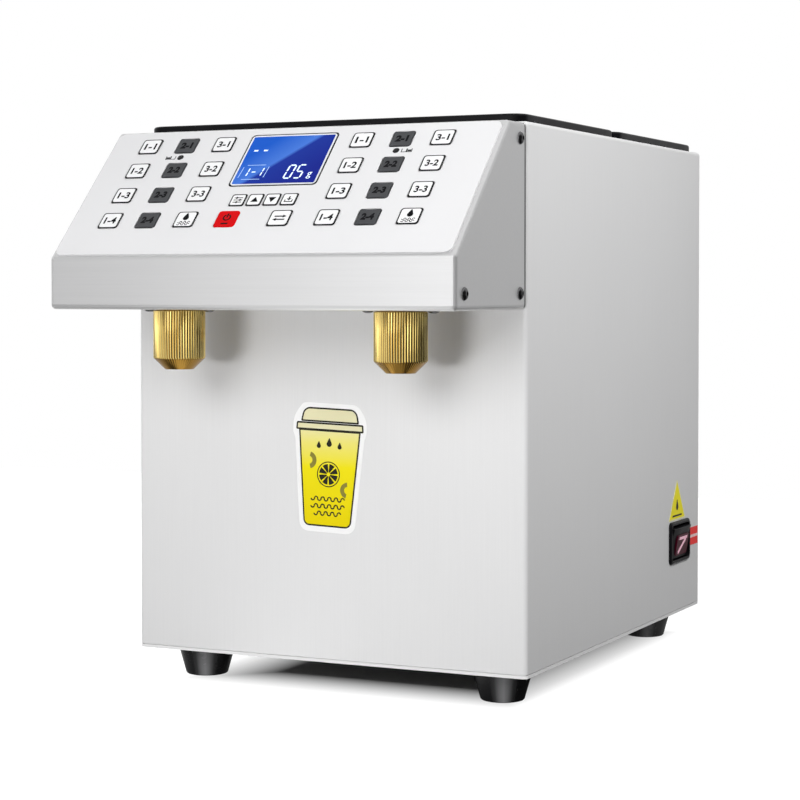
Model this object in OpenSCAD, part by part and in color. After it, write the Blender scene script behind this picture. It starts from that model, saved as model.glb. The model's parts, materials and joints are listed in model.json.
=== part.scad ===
// Two-head syrup dispenser for a drinks counter.
// A bent stainless box holds two lift-out syrup tanks. A sloped head on its front carries the
// key panel, and two knurled brass nozzles hang below the head over the cup space.
// Millimetres. X is across the front, Y runs from the front to the back, Z is up.
// The origin is on the counter, under the middle of the whole outline.

/* [Body] */
// Width of the box
body_w = 280; // [250:5:320]
// Depth of the box, front face to back face
body_d = 350; // [330:5:420]
// Height of the box top above the counter
body_top = 364.5; // [350:0.5:400]
// Thickness of the stainless sheet
sheet = 1.2; // [0.8:0.1:1.5]
// Outer radius of the bends in the box
bend_r = 3; // [2:0.5:5]
// Thickness of the base plate
base_t = 2; // [1.5:0.5:3]
// Height of the base plate's rim inside the box
base_rim_h = 12; // [8:1:20]

/* [Feet] */
// Height of a foot
foot_h = 21; // [15:1:30]
// Diameter of a foot under the base plate
foot_top_d = 39; // [34:1:44]
// Diameter of a foot on the counter
foot_bottom_d = 29; // [24:1:32]
// Distance of a foot's centre from the box's side
foot_side = 31; // [26:1:50]
// Distance of a foot's centre from the box's front or back
foot_end = 36; // [28:1:60]

/* [Tanks and lids] */
// Space between a tank and the box's sides
tank_side = 15; // [12:1:28]
// Depth of a tank below the box top
tank_h = 170; // [140:5:190]
// Wall of a tank
tank_wall = 1; // [0.8:0.1:1.5]
// Space between a tank and the box's front or back
tank_gap = 20; // [18:1:28]
// Space between the two tanks
tank_mid = 20; // [18:1:30]
// Corner radius of a tank
tank_r = 15; // [10:1:25]
// Width of the rim that a tank hangs by
tank_rim = 5; // [3:0.5:5]
// Height of a lid above the box top
lid_h = 5.5; // [5:0.5:9]
// Distance of the lids from the box's sides, front and back
lid_inset = 5; // [4:0.5:7]
// Gap between the two lids
lid_split = 4; // [2:0.5:6]
// Corner radius of a lid
lid_r = 10; // [6:1:14]
// Wall of a lid
lid_wall = 2; // [1.5:0.25:2.5]
// How far a lid's locating rib reaches below the box top
lid_rib_h = 6; // [4:1:12]

/* [Head] */
// How far a cheek of the head lies inside the box's side
head_side = 1; // [0.5:0.5:4]
// How far the head reaches in front of the box
head_reach = 105; // [95:5:130]
// Height of the head's underside above the counter
head_bottom = 249; // [235:1:260]
// Height of the head's upright front face
head_face_h = 32; // [26:1:40]
// Depth of the flat strip on top of the head
head_flat = 25; // [18:1:30]
// How far the head's top lies below the box top
head_drop = 1; // [0:0.5:4]
// Thickness of the bracket inside the head
bracket_t = 1.5; // [1:0.25:2.5]

/* [Key panel] */
// Thickness of the panel's printed foil
foil_t = 1.2; // [0.8:0.1:1.6]
// Corner radius of the foil
foil_r = 5; // [2:1:10]
// Margin of the foil to the slope's edges
foil_edge = 3.5; // [3:0.5:6]
// Sideways shift of the key layout
panel_shift = -3.5; // [-5:0.5:5]
// Distance of an inner key column from the middle of the layout
key_inner = 49; // [46:0.5:52]
// Distance between key columns
key_pitch_x = 27.3; // [24:0.1:28]
// Distance between key rows, along the slope
key_pitch_y = 22.7; // [18:0.1:23]
// Height of the lowest key row above the fold, along the slope
key_low = 31.2; // [28:0.1:36]
// Width of a dosing key
key_w = 14.5; // [12:0.5:16]
// Height of a dosing key
key_h = 13.8; // [12:0.2:15]
// Width and height of a small setting key
small_key = 10.6; // [8:0.2:11]
// Distance between the small keys
small_pitch = 11.9; // [11.6:0.1:13]
// Height of the row of small keys above the fold, along the slope
small_row = 47.5; // [45:0.5:49]
// Sideways distance of the power and change keys from the middle of the layout
command_x = 18.4; // [15:0.2:24]
// Travel of a key
key_travel = 0.4; // [0.2:0.05:0.5]
// Height of a key over the foil
key_proud = 0.5; // [0.4:0.1:1]
// Gap around a key
key_gap = 0.3; // [0.2:0.05:0.5]
// Width of the display glass
glass_w = 62; // [50:1:66]
// Height of the display glass
glass_h = 47.4; // [40:0.2:50]
// Height of the display's middle above the fold, along the slope
glass_mid = 83.8; // [82:0.2:86]

/* [Nozzles] */
// Distance of a nozzle from the middle
nozzle_x = 78; // [60:1:90]
// Distance of the nozzles in front of the box
nozzle_y = 50; // [44:1:56]
// Diameter over the knurling
cap_d = 33; // [31:0.5:40]
// Height of the knurled part of a cap
knurl_h = 31.2; // [27:0.2:36]
// Height of the cap's tapered end
taper_h = 6.6; // [5:0.2:9]
// Diameter of the cap's lower end
tip_d = 18.4; // [16:0.2:22]
// Number of knurls round a cap
knurls = 60; // [36:2:72]
// Depth of the knurling
knurl_depth = 0.6; // [0.3:0.1:0.8]
// Diameter of the nozzle's spigot
spigot_d = 25.6; // [24:0.2:26]
// Length of the spigot below the head
spigot_l = 19.5; // [16:0.5:22]
// Diameter of the outlet
outlet_d = 9; // [7:0.5:11]
// Distance of a flange screw from the nozzle's middle
flange_screw_x = 22; // [21:0.5:26]
// Thickness of the seal ring
ring_t = 2; // [1.5:0.25:3]
// Diameter of the valve core
core_d = 18; // [16.5:0.5:18.5]
// Travel of the valve core
core_travel = 3; // [2:0.5:3.5]
// Wire diameter of the valve spring
wire_d = 1; // [0.8:0.1:1.2]
// Turns of the valve spring
spring_turns = 3.5; // [2.5:0.5:4]

/* [Switch] */
// Length of the switch's frame, front to back
switch_l = 46; // [40:1:50]
// Height of the switch's frame
switch_h = 31; // [29:0.5:34]
// Distance of the switch's middle from the box front
switch_y = 300; // [280:1:310]
// Height of the switch's middle above the counter
switch_z = 74; // [60:1:90]
// How far the rocker swings
rocker_swing = 18; // [12:1:20]

/* [Screws] */
// Diameter of a screw's shank
screw_d = 3.8; // [3:0.1:4]
// Diameter of a screw's head
screw_head_d = 8; // [6.5:0.5:8]
// Height of a screw's head
screw_head_h = 2.2; // [1.6:0.1:2.6]
// Length of a screw's shank
screw_l = 6; // [5:0.5:8]

/* [Syrup path] */
// Outer diameter of a hose
hose_d = 12; // [11:0.5:13]
// Bore of a hose
hose_bore = 8; // [7:0.5:9]
// Bend radius of a hose
hose_bend = 17; // [15:1:19]
// Height of the hose where it enters the head
hose_z = 290; // [286:1:296]
// Diameter of a pump's motor
motor_d = 44; // [36:1:48]
// Length of a pump's motor
motor_l = 60; // [45:1:64]

/* [Supply inlet] */
// Bore of the supply inlet
inlet_bore = 8; // [6:0.5:9]
// How far the inlet bush stands out of the back
inlet_reach = 8; // [5:1:12]
// Distance of the supply inlet from the box's side
inlet_side = 60; // [52:1:80]
// Height of the supply inlet above the counter
inlet_z = 70; // [60:1:90]

/* [Hidden] */
$fn = 48;
bend_fn = 32;
eps = 0.01;
// Clearances between pieces that sit in one another
fit_gap = 0.1;
seam = 0.4;
loose_gap = 0.3;
// Length of a cut through a sheet
through = 20;

// Frame: middle of the outline over the counter
frame_y = (head_reach - body_d - inlet_reach) / 2;
case_z = foot_h + base_t + seam;
case_in_w = body_w - 2 * sheet;
top_edge = bend_r - 0.4;
floor_z = foot_h + base_t;

// Tanks, lids and their places
tank_w = body_w - 2 * tank_side;
tank_len = (body_d - 2 * tank_gap - tank_mid) / 2;
tank_in_w = tank_w - 2 * tank_wall;
tank_in_len = tank_len - 2 * tank_wall;
tank_floor_z = body_top - tank_h;
tank_round = 10;
rim_t = 1;
mouth_play = 0.5;
lid_w = body_w - 2 * lid_inset;
lid_len = (body_d - 2 * lid_inset - lid_split) / 2;
lid_edge = 1.5;
rib_play = 1;
tank_mid_y = [tank_gap + tank_len / 2, body_d - tank_gap - tank_len / 2];
lid_mid_y = [lid_inset + lid_len / 2, body_d - lid_inset - lid_len / 2];

// Head
head_w = body_w - 2 * head_side;
head_top = body_top - head_drop;
fold_z = head_bottom + head_face_h;
slope_run = head_reach - head_flat;
slope_rise = head_top - fold_z;
slope_a = atan2(slope_rise, slope_run);
slope_len = norm([slope_run, slope_rise]);
bracket_inset = 6;
bracket_band = 15;
bracket_x = head_w / 2 - sheet - fit_gap - bracket_t;
pass_w = 2 * nozzle_x + 3 * hose_d;
pass_h = 3 * hose_d;
side_screw_front = 11.6;
side_screw_back = 9;
side_screw_up = 10;
side_screw_at = [[-head_reach + side_screw_front, head_bottom + side_screw_up],
    [-side_screw_back, head_bottom + side_screw_up], [-side_screw_back, head_top - side_screw_up]];

// Key panel
foil_w = head_w - 2 * foil_edge;
foil_low = 1.5;
foil_high = 2;
foil_len = slope_len - foil_low - foil_high;
key_r = 2;
key_step = 0.35;
key_rest = key_travel + 0.05;
glass_r = 3;
lens_w = glass_w - 7;
lens_h = glass_h - 7;
command_shift = -1.4;
small_shift = -0.4;
board_w = 220;
board_len = 92;
board_t = 1.6;
board_depth = 12;
board_corner = 3;
post_d = 6;
post_x = board_w / 2 - post_d;
post_y = board_len / 2 - post_d;
plug_w = 60;
plug_len = 12;
plug_h = 6;
plug_at = (slope_len - board_len) / 2 + 7;

// Nozzles
cap_top = head_bottom - 0.5;
cap_bore_d = spigot_d + 2 * loose_gap;
cap_floor = 3.3;
cap_low = cap_top - knurl_h - taper_h;
seat_z = head_bottom - spigot_l;
ring_d = spigot_d - 0.6;
ring_bore = 12;
ledge_z = seat_z - ring_t;
chamber_d = core_d + 2;
core_t = 3;
stem_d = 6;
spring_low = cap_low + cap_floor;
spring_high = ledge_z - core_t;
spring_d = 13;
stem_low = spring_low + core_travel + 0.5;
flange_t = 4;
flange_d = 34;
flange_ear_r = 5;
spigot_hole_d = spigot_d + 2 * fit_gap + 0.8;
nozzle_bore = 8;
barb_d = hose_bore - 2 * fit_gap;
barb_top = head_bottom + sheet + flange_t + 14;

// Switch
well_l = switch_l - 6;
well_h = switch_h - 5.4;
well_wall = 1;
switch_depth = 22;
frame_out = 2;
frame_r = 2;
rocker_l = well_l - 0.8;
rocker_h = well_h - 2.6;
pivot_in = 3.5;
pivot_d = 3;
pivot_play = 0.05;

// Syrup path
pump_head = [50, 36, 46];
pump_foot = 6;
hose_push = 10;
pump_z = floor_z + 2;
pump_top = pump_z + pump_head[2];
spout_l = 12;
riser_y = (tank_gap + sheet) / 2;
outlet_z = pump_z + 14;

// Power supply
supply_w = 90;
supply_l = 120;
supply_h = 40;
supply_back = 30;

// Back
service_side = 30;
service_w = body_w - 2 * service_side;
service_h = 230;
service_z = case_z + 25;
cover_over = 10;
cover_screw_x = service_w / 2 + cover_over / 2;
cover_z = service_z + service_h / 2;
slot_w = 60;
slot_h = 3;
slot_pitch = 9;
slot_low = 20;
inlet_x = body_w / 2 - inlet_side;
inlet_flange_d = 22;
inlet_neck_d = 14;

// ---- shared shapes ----

// Everything below is drawn with y = 0 on the box's front face, and this moves it into the frame
module in_frame() {
    translate([0, frame_y, 0]) children();
}

// Rounded rectangle of squares and circles, so its edges stay true lines and arcs
module round_rect(w, l, r) {
    square([w - 2 * r, l], center = true);
    square([w, l - 2 * r], center = true);
    for (x = [-1, 1], y = [-1, 1]) translate([x * (w / 2 - r), y * (l / 2 - r)]) circle(r);
}

// Points of a quarter arc about a middle, from one angle to another
function arc(mid, r, from, to, steps = 6) =
    [for (i = [0:steps]) let (a = from + (to - from) * i / steps) mid + r * [cos(a), sin(a)]];

// Upright corner post with a rounded upper edge
module corner_post(r, edge, low, high) {
    rotate_extrude($fn = bend_fn)
        polygon(concat([[0, low], [r, low]], arc([r - edge, high - edge], edge, 0, 90), [[0, high]]));
}

// Box with round upright corners and a rounded upper edge
module soft_box(w, l, r, edge, low, high) {
    hull() for (x = [-1, 1], y = [-1, 1])
        translate([x * (w / 2 - r), y * (l / 2 - r), 0]) corner_post(r, edge, low, high);
}

// The same box upside down, with the rounded edge below
module soft_pan(w, l, r, edge, low, high) {
    translate([0, 0, low + high]) mirror([0, 0, 1]) soft_box(w, l, r, edge, low, high);
}

// Button-head screw along +Z, with its head's seat at z = 0
module screw() {
    difference() {
        rotate_extrude() polygon(concat([[0, -screw_l], [screw_d / 2, -screw_l], [screw_d / 2, 0],
            [screw_head_d / 2, 0]],
            [for (i = [1:5]) let (a = i * 15) [screw_head_d / 2 * cos(a), screw_head_h * sin(a)]],
            [[0, screw_head_h]]));
        translate([0, 0, screw_head_h - 1.4]) cylinder(d = 2.9, h = 3, $fn = 6);
    }
}

module screw_hole(extra = 0) {
    translate([0, 0, -15]) cylinder(d = screw_d + 2 * fit_gap + extra, h = 30);
}

// ---- places that several pieces share ----

module at_side_screws() {
    for (s = [-1, 1], p = side_screw_at)
        translate([s * head_w / 2, p[0], p[1]]) rotate([0, s * 90, 0]) children();
}

module at_flange_screws() {
    for (s = [-1, 1], e = [-1, 1])
        translate([s * nozzle_x + e * flange_screw_x, -nozzle_y, head_bottom])
            rotate([180, 0, 0]) children();
}

module at_cover_screws() {
    for (s = [-1, 1], k = [-1, 0, 1])
        translate([s * cover_screw_x, body_d + sheet, cover_z + k * (service_h / 2 - 10)])
            rotate([-90, 0, 0]) children();
}

module on_slope() {
    translate([0, -head_reach, fold_z]) rotate([slope_a, 0, 0]) children();
}

module at_switch() {
    translate([body_w / 2, switch_y, switch_z]) rotate([90, 0, 90]) children();
}

// ---- box ----

module casing() {
    color("gainsboro") in_frame() difference() {
        translate([0, body_d / 2, 0]) difference() {
            soft_box(body_w, body_d, bend_r, top_edge, case_z, body_top);
            soft_box(case_in_w, body_d - 2 * sheet, bend_r - sheet, top_edge - sheet,
                case_z - 1, body_top - sheet);
        }
        for (y = tank_mid_y) translate([0, y, body_top - 5]) linear_extrude(10)
            round_rect(tank_w + 2 * mouth_play, tank_len + 2 * mouth_play, tank_r + mouth_play);
        translate([0, 0, hose_z]) rotate([90, 0, 0]) linear_extrude(through, center = true)
            round_rect(pass_w, pass_h, 6);
        translate([0, body_d, cover_z]) rotate([90, 0, 0]) linear_extrude(through, center = true)
            round_rect(service_w, service_h, 6);
        at_switch() linear_extrude(through, center = true)
            round_rect(well_l + 2 * well_wall + 0.4, well_h + 2 * well_wall + 0.4, 1);
        at_cover_screws() screw_hole();
    }
}

module back_cover() {
    color("silver") in_frame() difference() {
        translate([0, body_d + sheet, cover_z]) rotate([90, 0, 0]) linear_extrude(sheet)
            round_rect(service_w + 2 * cover_over, service_h + 2 * cover_over, 8);
        at_cover_screws() screw_hole();
        translate([inlet_x, body_d, inlet_z]) rotate([90, 0, 0])
            cylinder(d = inlet_neck_d + 2 * fit_gap, h = through, center = true);
        // Cooling slots in front of the power supply
        for (i = [0:7]) translate([-inlet_x, body_d, cover_z + slot_low + slot_pitch * i])
            rotate([90, 0, 0]) linear_extrude(through, center = true)
                round_rect(slot_w, slot_h, slot_h / 2 - 0.1);
    }
}

module base_plate() {
    rim_w = case_in_w - 2 * fit_gap;
    rim_len = body_d - 2 * sheet - 2 * fit_gap;
    rim_r = bend_r - sheet;
    color("whitesmoke") in_frame() translate([0, body_d / 2, foot_h]) {
        linear_extrude(base_t) round_rect(body_w, body_d, bend_r);
        translate([0, 0, base_t - eps]) linear_extrude(base_rim_h) difference() {
            round_rect(rim_w, rim_len, rim_r);
            round_rect(rim_w - 2 * sheet, rim_len - 2 * sheet, max(rim_r - sheet, 0.5));
        }
    }
}

module feet() {
    top_r = foot_top_d / 2;
    low_r = foot_bottom_d / 2;
    color("black") in_frame() for (s = [-1, 1], y = [foot_end, body_d - foot_end])
        translate([s * (body_w / 2 - foot_side), y, 0]) rotate_extrude()
            polygon(concat([[0, 0]], arc([low_r - 2, 2], 2, -90, 0, 3),
                arc([top_r - 1.5, foot_h - 1.5], 1.5, 0, 90, 3), [[0, foot_h]]));
}

// ---- tanks and lids ----

// A drawn pan that hangs in the box top by its rim, with an outlet spout below
module tank(i) {
    spout_x = (i == 0 ? -1 : 1) * nozzle_x;
    translate([0, tank_mid_y[i], 0]) difference() {
        union() {
            soft_pan(tank_w, tank_len, tank_r, tank_round, tank_floor_z, body_top + rim_t);
            translate([0, 0, body_top]) linear_extrude(rim_t)
                round_rect(tank_w + 2 * tank_rim, tank_len + 2 * tank_rim, tank_r + tank_rim);
            translate([spout_x, 0, tank_floor_z - spout_l]) cylinder(d = barb_d, h = spout_l + 0.5);
        }
        soft_pan(tank_in_w, tank_in_len, tank_r - tank_wall, tank_round - tank_wall,
            tank_floor_z + tank_wall, body_top + rim_t + 1);
        translate([spout_x, 0, tank_floor_z - spout_l - 1]) cylinder(d = barb_d - 2, h = spout_l + 3);
    }
}

module front_tank() {
    color("silver") in_frame() tank(0);
}

module rear_tank() {
    color("silver") in_frame() tank(1);
}

// A shallow cover with a rib that finds the tank's mouth
module lid(i) {
    under = body_top + lid_h - lid_wall;
    rib_w = tank_in_w - 2 * rib_play;
    rib_len = tank_in_len - 2 * rib_play;
    rib_r = tank_r - tank_wall - rib_play;
    translate([0, lid_mid_y[i], 0]) difference() {
        soft_box(lid_w, lid_len, lid_r, lid_edge, body_top, body_top + lid_h);
        translate([0, 0, body_top - 1]) linear_extrude(lid_h - lid_wall + 1)
            round_rect(lid_w - 2 * lid_wall, lid_len - 2 * lid_wall, lid_r - lid_wall);
    }
    translate([0, tank_mid_y[i], body_top - lid_rib_h]) linear_extrude(under - body_top + lid_rib_h + eps)
        difference() {
            round_rect(rib_w, rib_len, rib_r);
            round_rect(rib_w - 2 * lid_wall, rib_len - 2 * lid_wall, rib_r - lid_wall);
        }
}

module front_lid() {
    color([0.08, 0.08, 0.08]) in_frame() lid(0);
}

module rear_lid() {
    color([0.08, 0.08, 0.08]) in_frame() lid(1);
}

// ---- head ----

// Side outline of the head, moved inwards by one distance, from the underside's back corner round
function head_outline(inset, back) = [
    [back, head_bottom + inset],
    [-head_reach + inset, head_bottom + inset],
    [-head_reach + inset, fold_z - inset * (1 - sin(slope_a)) / cos(slope_a)],
    [-head_reach + (inset + (slope_rise - inset) * cos(slope_a)) / sin(slope_a), head_top - inset],
    [back, head_top - inset]];

// Points round one corner of the head's side outline, between the normals of its two edges
function head_corner(mid, r, from, to) =
    r < eps ? [mid] : [for (i = [0:3]) let (a = from + (to - from) * i / 3) mid + r * [cos(a), sin(a)]];

// Side outline of the head with every corner rounded to one radius about the same middles
function head_round(r) = let (m = head_outline(bend_r, 2 * bend_r), n = 90 + slope_a) concat(
    [m[0] + [0, -r]], head_corner(m[1], r, 270, 180), head_corner(m[2], r, 180, n),
    head_corner(m[3], r, n, 90), [m[4] + [0, r]]);

// The head's outside for the full bend radius, and its inside for the radius less the sheet:
// side outlines that shrink as they come out to the cheeks
module head_form(r) {
    hull() for (i = [0:4]) rotate([90, 0, 90])
        linear_extrude(head_w - 2 * bend_r + 2 * r * sin(i * 22.5), center = true)
            polygon(head_round(r * cos(i * 22.5)));
}

module head_shell() {
    color("gainsboro") in_frame() difference() {
        union() {
            difference() {
                head_form(bend_r);
                head_form(bend_r - sheet);
            }
            // Posts that carry the control board
            on_slope() for (s = [-1, 1], y = [-1, 1])
                translate([s * post_x, slope_len / 2 + y * post_y, -board_depth])
                    cylinder(d = post_d, h = board_depth - sheet / 2);
        }
        translate([-body_w, 0, 0]) cube([2 * body_w, body_d, 2 * body_top]);
        at_side_screws() screw_hole();
        at_flange_screws() screw_hole();
        for (s = [-1, 1]) translate([s * nozzle_x, -nozzle_y, head_bottom - 5])
            cylinder(d = spigot_hole_d, h = 10);
        on_slope() translate([panel_shift, glass_mid, 0]) linear_extrude(10, center = true)
            round_rect(lens_w + 1, lens_h + 1, 2);
    }
}

module head_bracket() {
    color("silver") in_frame() difference() {
        union() {
            for (s = [-1, 1]) translate([s * (bracket_x + bracket_t / 2), 0, 0])
                rotate([90, 0, 90]) linear_extrude(bracket_t, center = true)
                    polygon(head_outline(bracket_inset, 0));
            translate([-bracket_x, -bracket_t, head_bottom + bracket_inset])
                cube([2 * bracket_x, bracket_t, head_top - head_bottom - 2 * bracket_inset]);
        }
        translate([0, 0, hose_z]) rotate([90, 0, 0]) linear_extrude(through, center = true)
            round_rect(pass_w, pass_h, 6);
        // The bracket's cheeks are cut away in the middle
        rotate([90, 0, 90]) linear_extrude(2 * body_w, center = true)
            polygon(head_outline(bracket_inset + bracket_band, -bracket_band));
        at_side_screws() screw_hole();
    }
}

// ---- key panel ----

// Places of the keys on the slope, measured from the slope's middle line and the fold
function key_x(side, column) =
    panel_shift + side * key_inner + (side < 0 ? column - 3 : column - 1) * key_pitch_x;
function key_y(row) = key_low + (4 - row) * key_pitch_y;
function small_x(i) = panel_shift + small_shift + (i - 2.5) * small_pitch;
function command_at(side) = panel_shift + command_shift + side * command_x;

module key_outline(w, h, grow = 0) {
    round_rect(w + 2 * grow, h + 2 * grow, key_r + grow);
}

module all_key_outlines(grow) {
    for (side = [-1, 1], column = [1:3], row = [1:4])
        translate([key_x(side, column), key_y(row)]) key_outline(key_w, key_h, grow);
    for (i = [1:4]) translate([small_x(i), small_row]) key_outline(small_key, small_key, grow);
    for (s = [-1, 1]) translate([command_at(s), key_low]) key_outline(key_w, key_h, grow);
}

// One key: a raised field of the foil with a stepped edge
module key(at, w, h) {
    in_frame() on_slope() translate(at) {
        translate([0, 0, key_rest]) linear_extrude(foil_t + key_proud - key_rest - key_step)
            key_outline(w, h);
        translate([0, 0, foil_t + key_proud - key_step - eps]) linear_extrude(key_step + eps)
            key_outline(w, h, -key_step);
    }
}

module dosing_key(side, column, row) {
    color(column == 2 ? "dimgray" : "white") key([key_x(side, column), key_y(row), 0], key_w, key_h);
}

module small_setting_key(i) {
    color("white") key([small_x(i), small_row, 0], small_key, small_key);
}

module power_key() {
    color("red") key([command_at(-1), key_low, 0], key_w, key_h);
}

module change_key() {
    color("white") key([command_at(1), key_low, 0], key_w, key_h);
}

module panel_foil() {
    color("whitesmoke") in_frame() on_slope() linear_extrude(foil_t) difference() {
        translate([0, foil_low + foil_len / 2]) round_rect(foil_w, foil_len, foil_r);
        all_key_outlines(key_gap);
        translate([panel_shift, glass_mid])
            round_rect(glass_w + 2 * fit_gap, glass_h + 2 * fit_gap, glass_r);
    }
}

module display_glass() {
    color([0.1, 0.25, 0.8]) in_frame() on_slope() translate([panel_shift, glass_mid, 0])
        linear_extrude(foil_t + 0.2) round_rect(glass_w, glass_h, glass_r);
}

// Circuit board on the shell's posts, with the display behind its glass
module control_board() {
    color("seagreen") in_frame() on_slope() {
        translate([0, slope_len / 2, -board_depth - board_t]) linear_extrude(board_t)
            round_rect(board_w, board_len, board_corner);
        translate([panel_shift, glass_mid, -board_depth - eps]) linear_extrude(board_depth - fit_gap)
            round_rect(lens_w, lens_h, 1);
        translate([0, plug_at, -board_depth - board_t - plug_h]) linear_extrude(plug_h + eps)
            round_rect(plug_w, plug_len, 1);
    }
}

module screws() {
    color("dimgray") in_frame() {
        at_side_screws() screw();
        at_flange_screws() screw();
        at_cover_screws() screw();
    }
}

// ---- nozzles ----

module at_nozzle(side) {
    in_frame() translate([side * nozzle_x, -nozzle_y, 0]) children();
}

// Flanged body inside the head, with a barb for the hose and a spigot through the underside
module nozzle_body(side) {
    low = head_bottom + sheet;
    color("silver") at_nozzle(side) difference() {
        union() {
            translate([0, 0, low]) cylinder(d = flange_d, h = flange_t);
            for (s = [-1, 1]) translate([s * flange_screw_x, 0, low])
                cylinder(r = flange_ear_r, h = flange_t);
            translate([-flange_screw_x, -flange_ear_r, low])
                cube([2 * flange_screw_x, 2 * flange_ear_r, flange_t]);
            translate([0, 0, seat_z]) cylinder(d = spigot_d, h = low - seat_z + eps);
            translate([0, 0, low]) cylinder(d = barb_d, h = barb_top - low);
        }
        translate([0, 0, seat_z - 1]) cylinder(d = nozzle_bore - 2, h = barb_top);
        for (s = [-1, 1]) translate([s * flange_screw_x, 0, low]) screw_hole();
    }
}

module seal_ring(side) {
    color([0.15, 0.15, 0.15]) at_nozzle(side) translate([0, 0, ledge_z]) difference() {
        cylinder(d = ring_d, h = ring_t);
        translate([0, 0, -1]) cylinder(d = ring_bore, h = ring_t + 2);
    }
}

// Knurled brass cap: a toothed prism turned down to a chamfered and tapered outline
module nozzle_cap(side) {
    r = cap_d / 2;
    knurl_low = cap_low + taper_h;
    teeth = [for (i = [0:2 * knurls - 1]) let (a = i * 180 / knurls, q = i % 2 == 0 ? r : r - knurl_depth)
        q * [cos(a), sin(a)]];
    color("goldenrod") at_nozzle(side) difference() {
        union() {
            intersection() {
                translate([0, 0, knurl_low]) linear_extrude(knurl_h) polygon(teeth);
                rotate_extrude() polygon([[0, knurl_low], [r - 1, knurl_low], [r, knurl_low + 1],
                    [r, cap_top - 1], [r - 1, cap_top], [0, cap_top]]);
            }
            translate([0, 0, cap_low]) cylinder(d1 = tip_d, d2 = cap_d - 2 * knurl_depth, h = taper_h + eps);
        }
        translate([0, 0, ledge_z]) cylinder(d = cap_bore_d, h = cap_top);
        translate([0, 0, spring_low]) cylinder(d = chamber_d, h = cap_top);
        translate([0, 0, cap_low - 1]) cylinder(d = outlet_d, h = cap_top);
    }
}

module valve_core(side) {
    color("white") at_nozzle(side) rotate_extrude()
        polygon([[0, stem_low], [stem_d / 2, stem_low], [stem_d / 2, spring_high], [core_d / 2, spring_high],
            [core_d / 2, spring_high + core_t - 1], [core_d / 2 - 1, spring_high + core_t],
            [ring_bore / 2 - 0.5, spring_high + core_t], [ring_bore / 2 - 1.5, spring_high + core_t + 1],
            [0, spring_high + core_t + 1]]);
}

// Points and faces of a wire that winds up round the Z axis
function coil_points(mean_r, wire_r, low, high, turns, steps, sides) =
    [for (i = [0:steps], k = [0:sides - 1])
        let (a = 360 * turns * i / steps, q = -360 * k / sides, r = mean_r + wire_r * cos(q))
        [r * cos(a), r * sin(a), low + (high - low) * i / steps + wire_r * sin(q)]];
function coil_faces(steps, sides) = concat(
    [for (i = [0:steps - 1], k = [0:sides - 1]) let (n = (k + 1) % sides)
        [i * sides + k, i * sides + n, (i + 1) * sides + n, (i + 1) * sides + k]],
    [[for (k = [sides - 1:-1:0]) k]],
    [[for (k = [0:sides - 1]) steps * sides + k]]);

module valve_spring(side) {
    wire_r = wire_d / 2;
    rest_gap = 0.1;
    steps = ceil(spring_turns * 14);
    color("silver") at_nozzle(side) polyhedron(
        points = coil_points(spring_d / 2, wire_r, spring_low + wire_r + rest_gap,
            spring_high - wire_r - rest_gap, spring_turns, steps, 6),
        faces = coil_faces(steps, 6), convexity = 8);
}

// ---- switch ----

// Seen from outside: local x runs to the back, y is up and z points out of the box
module switch_frame() {
    color("black") in_frame() at_switch() difference() {
        union() {
            linear_extrude(frame_out) round_rect(switch_l, switch_h, frame_r);
            translate([0, 0, -switch_depth]) linear_extrude(switch_depth + eps)
                round_rect(well_l + 2 * well_wall, well_h + 2 * well_wall, 0.8);
        }
        translate([0, 0, -switch_depth + 8]) linear_extrude(switch_depth) round_rect(well_l, well_h, 0.5);
        translate([0, 0, -pivot_in]) rotate([0, 90, 0])
            cylinder(d = pivot_d + 2 * pivot_play, h = well_l + 1.2, center = true);
    }
}

// A rocker with two sloping faces, held by a pin at each end
module switch_rocker() {
    half = rocker_h / 2;
    color("black") in_frame() at_switch() translate([0, 0, -pivot_in]) rotate([rocker_swing / 2, 0, 0]) {
        rotate([90, 0, 90]) linear_extrude(rocker_l, center = true)
            polygon([[-half, 6.4], [-half, -2], [-half / 2, -4], [half / 2, -4], [half, -2], [half, 6.4],
                [0, 4.2]]);
        rotate([0, 90, 0]) cylinder(d = pivot_d, h = well_l + 1, center = true);
    }
}

// ---- syrup path ----

// Pump with its motor behind it, on a foot plate. Its inlet is on top and its outlet in front.
module pump(side, y) {
    translate([side * nozzle_x, y, 0]) {
        difference() {
            union() {
                translate([0, 0, pump_z + pump_head[2] / 2]) cube(pump_head, center = true);
                translate([0, 0, pump_top - 1]) cylinder(d = barb_d, h = spout_l + 1);
                translate([0, -pump_head[1] / 2 + 1, outlet_z]) rotate([90, 0, 0])
                    cylinder(d = barb_d, h = spout_l + 1);
            }
            translate([0, 0, pump_top - 4]) cylinder(d = barb_d - 2, h = 40);
            translate([0, -pump_head[1] / 2 + 4, outlet_z]) rotate([90, 0, 0])
                cylinder(d = barb_d - 2, h = 40);
        }
        translate([0, pump_head[1] / 2 - 1, pump_z + motor_d / 2]) rotate([-90, 0, 0])
            cylinder(d = motor_d, h = motor_l + 1);
        translate([-pump_head[0] / 2 - pump_foot, -pump_head[1] / 2, floor_z])
            cube([pump_head[0] + 2 * pump_foot, pump_head[1] + motor_l, pump_z - floor_z + eps]);
    }
}

module pumps() {
    color("slategray") in_frame() {
        pump(-1, tank_mid_y[0]);
        pump(1, tank_mid_y[1]);
    }
}

// Straight hose between two heights, and a quarter bend; all in the plane of one nozzle
module hose_up(y, low, high) {
    translate([0, y, low]) difference() {
        cylinder(d = hose_d, h = high - low);
        translate([0, 0, -1]) cylinder(d = hose_bore, h = high - low + 2);
    }
}

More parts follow.
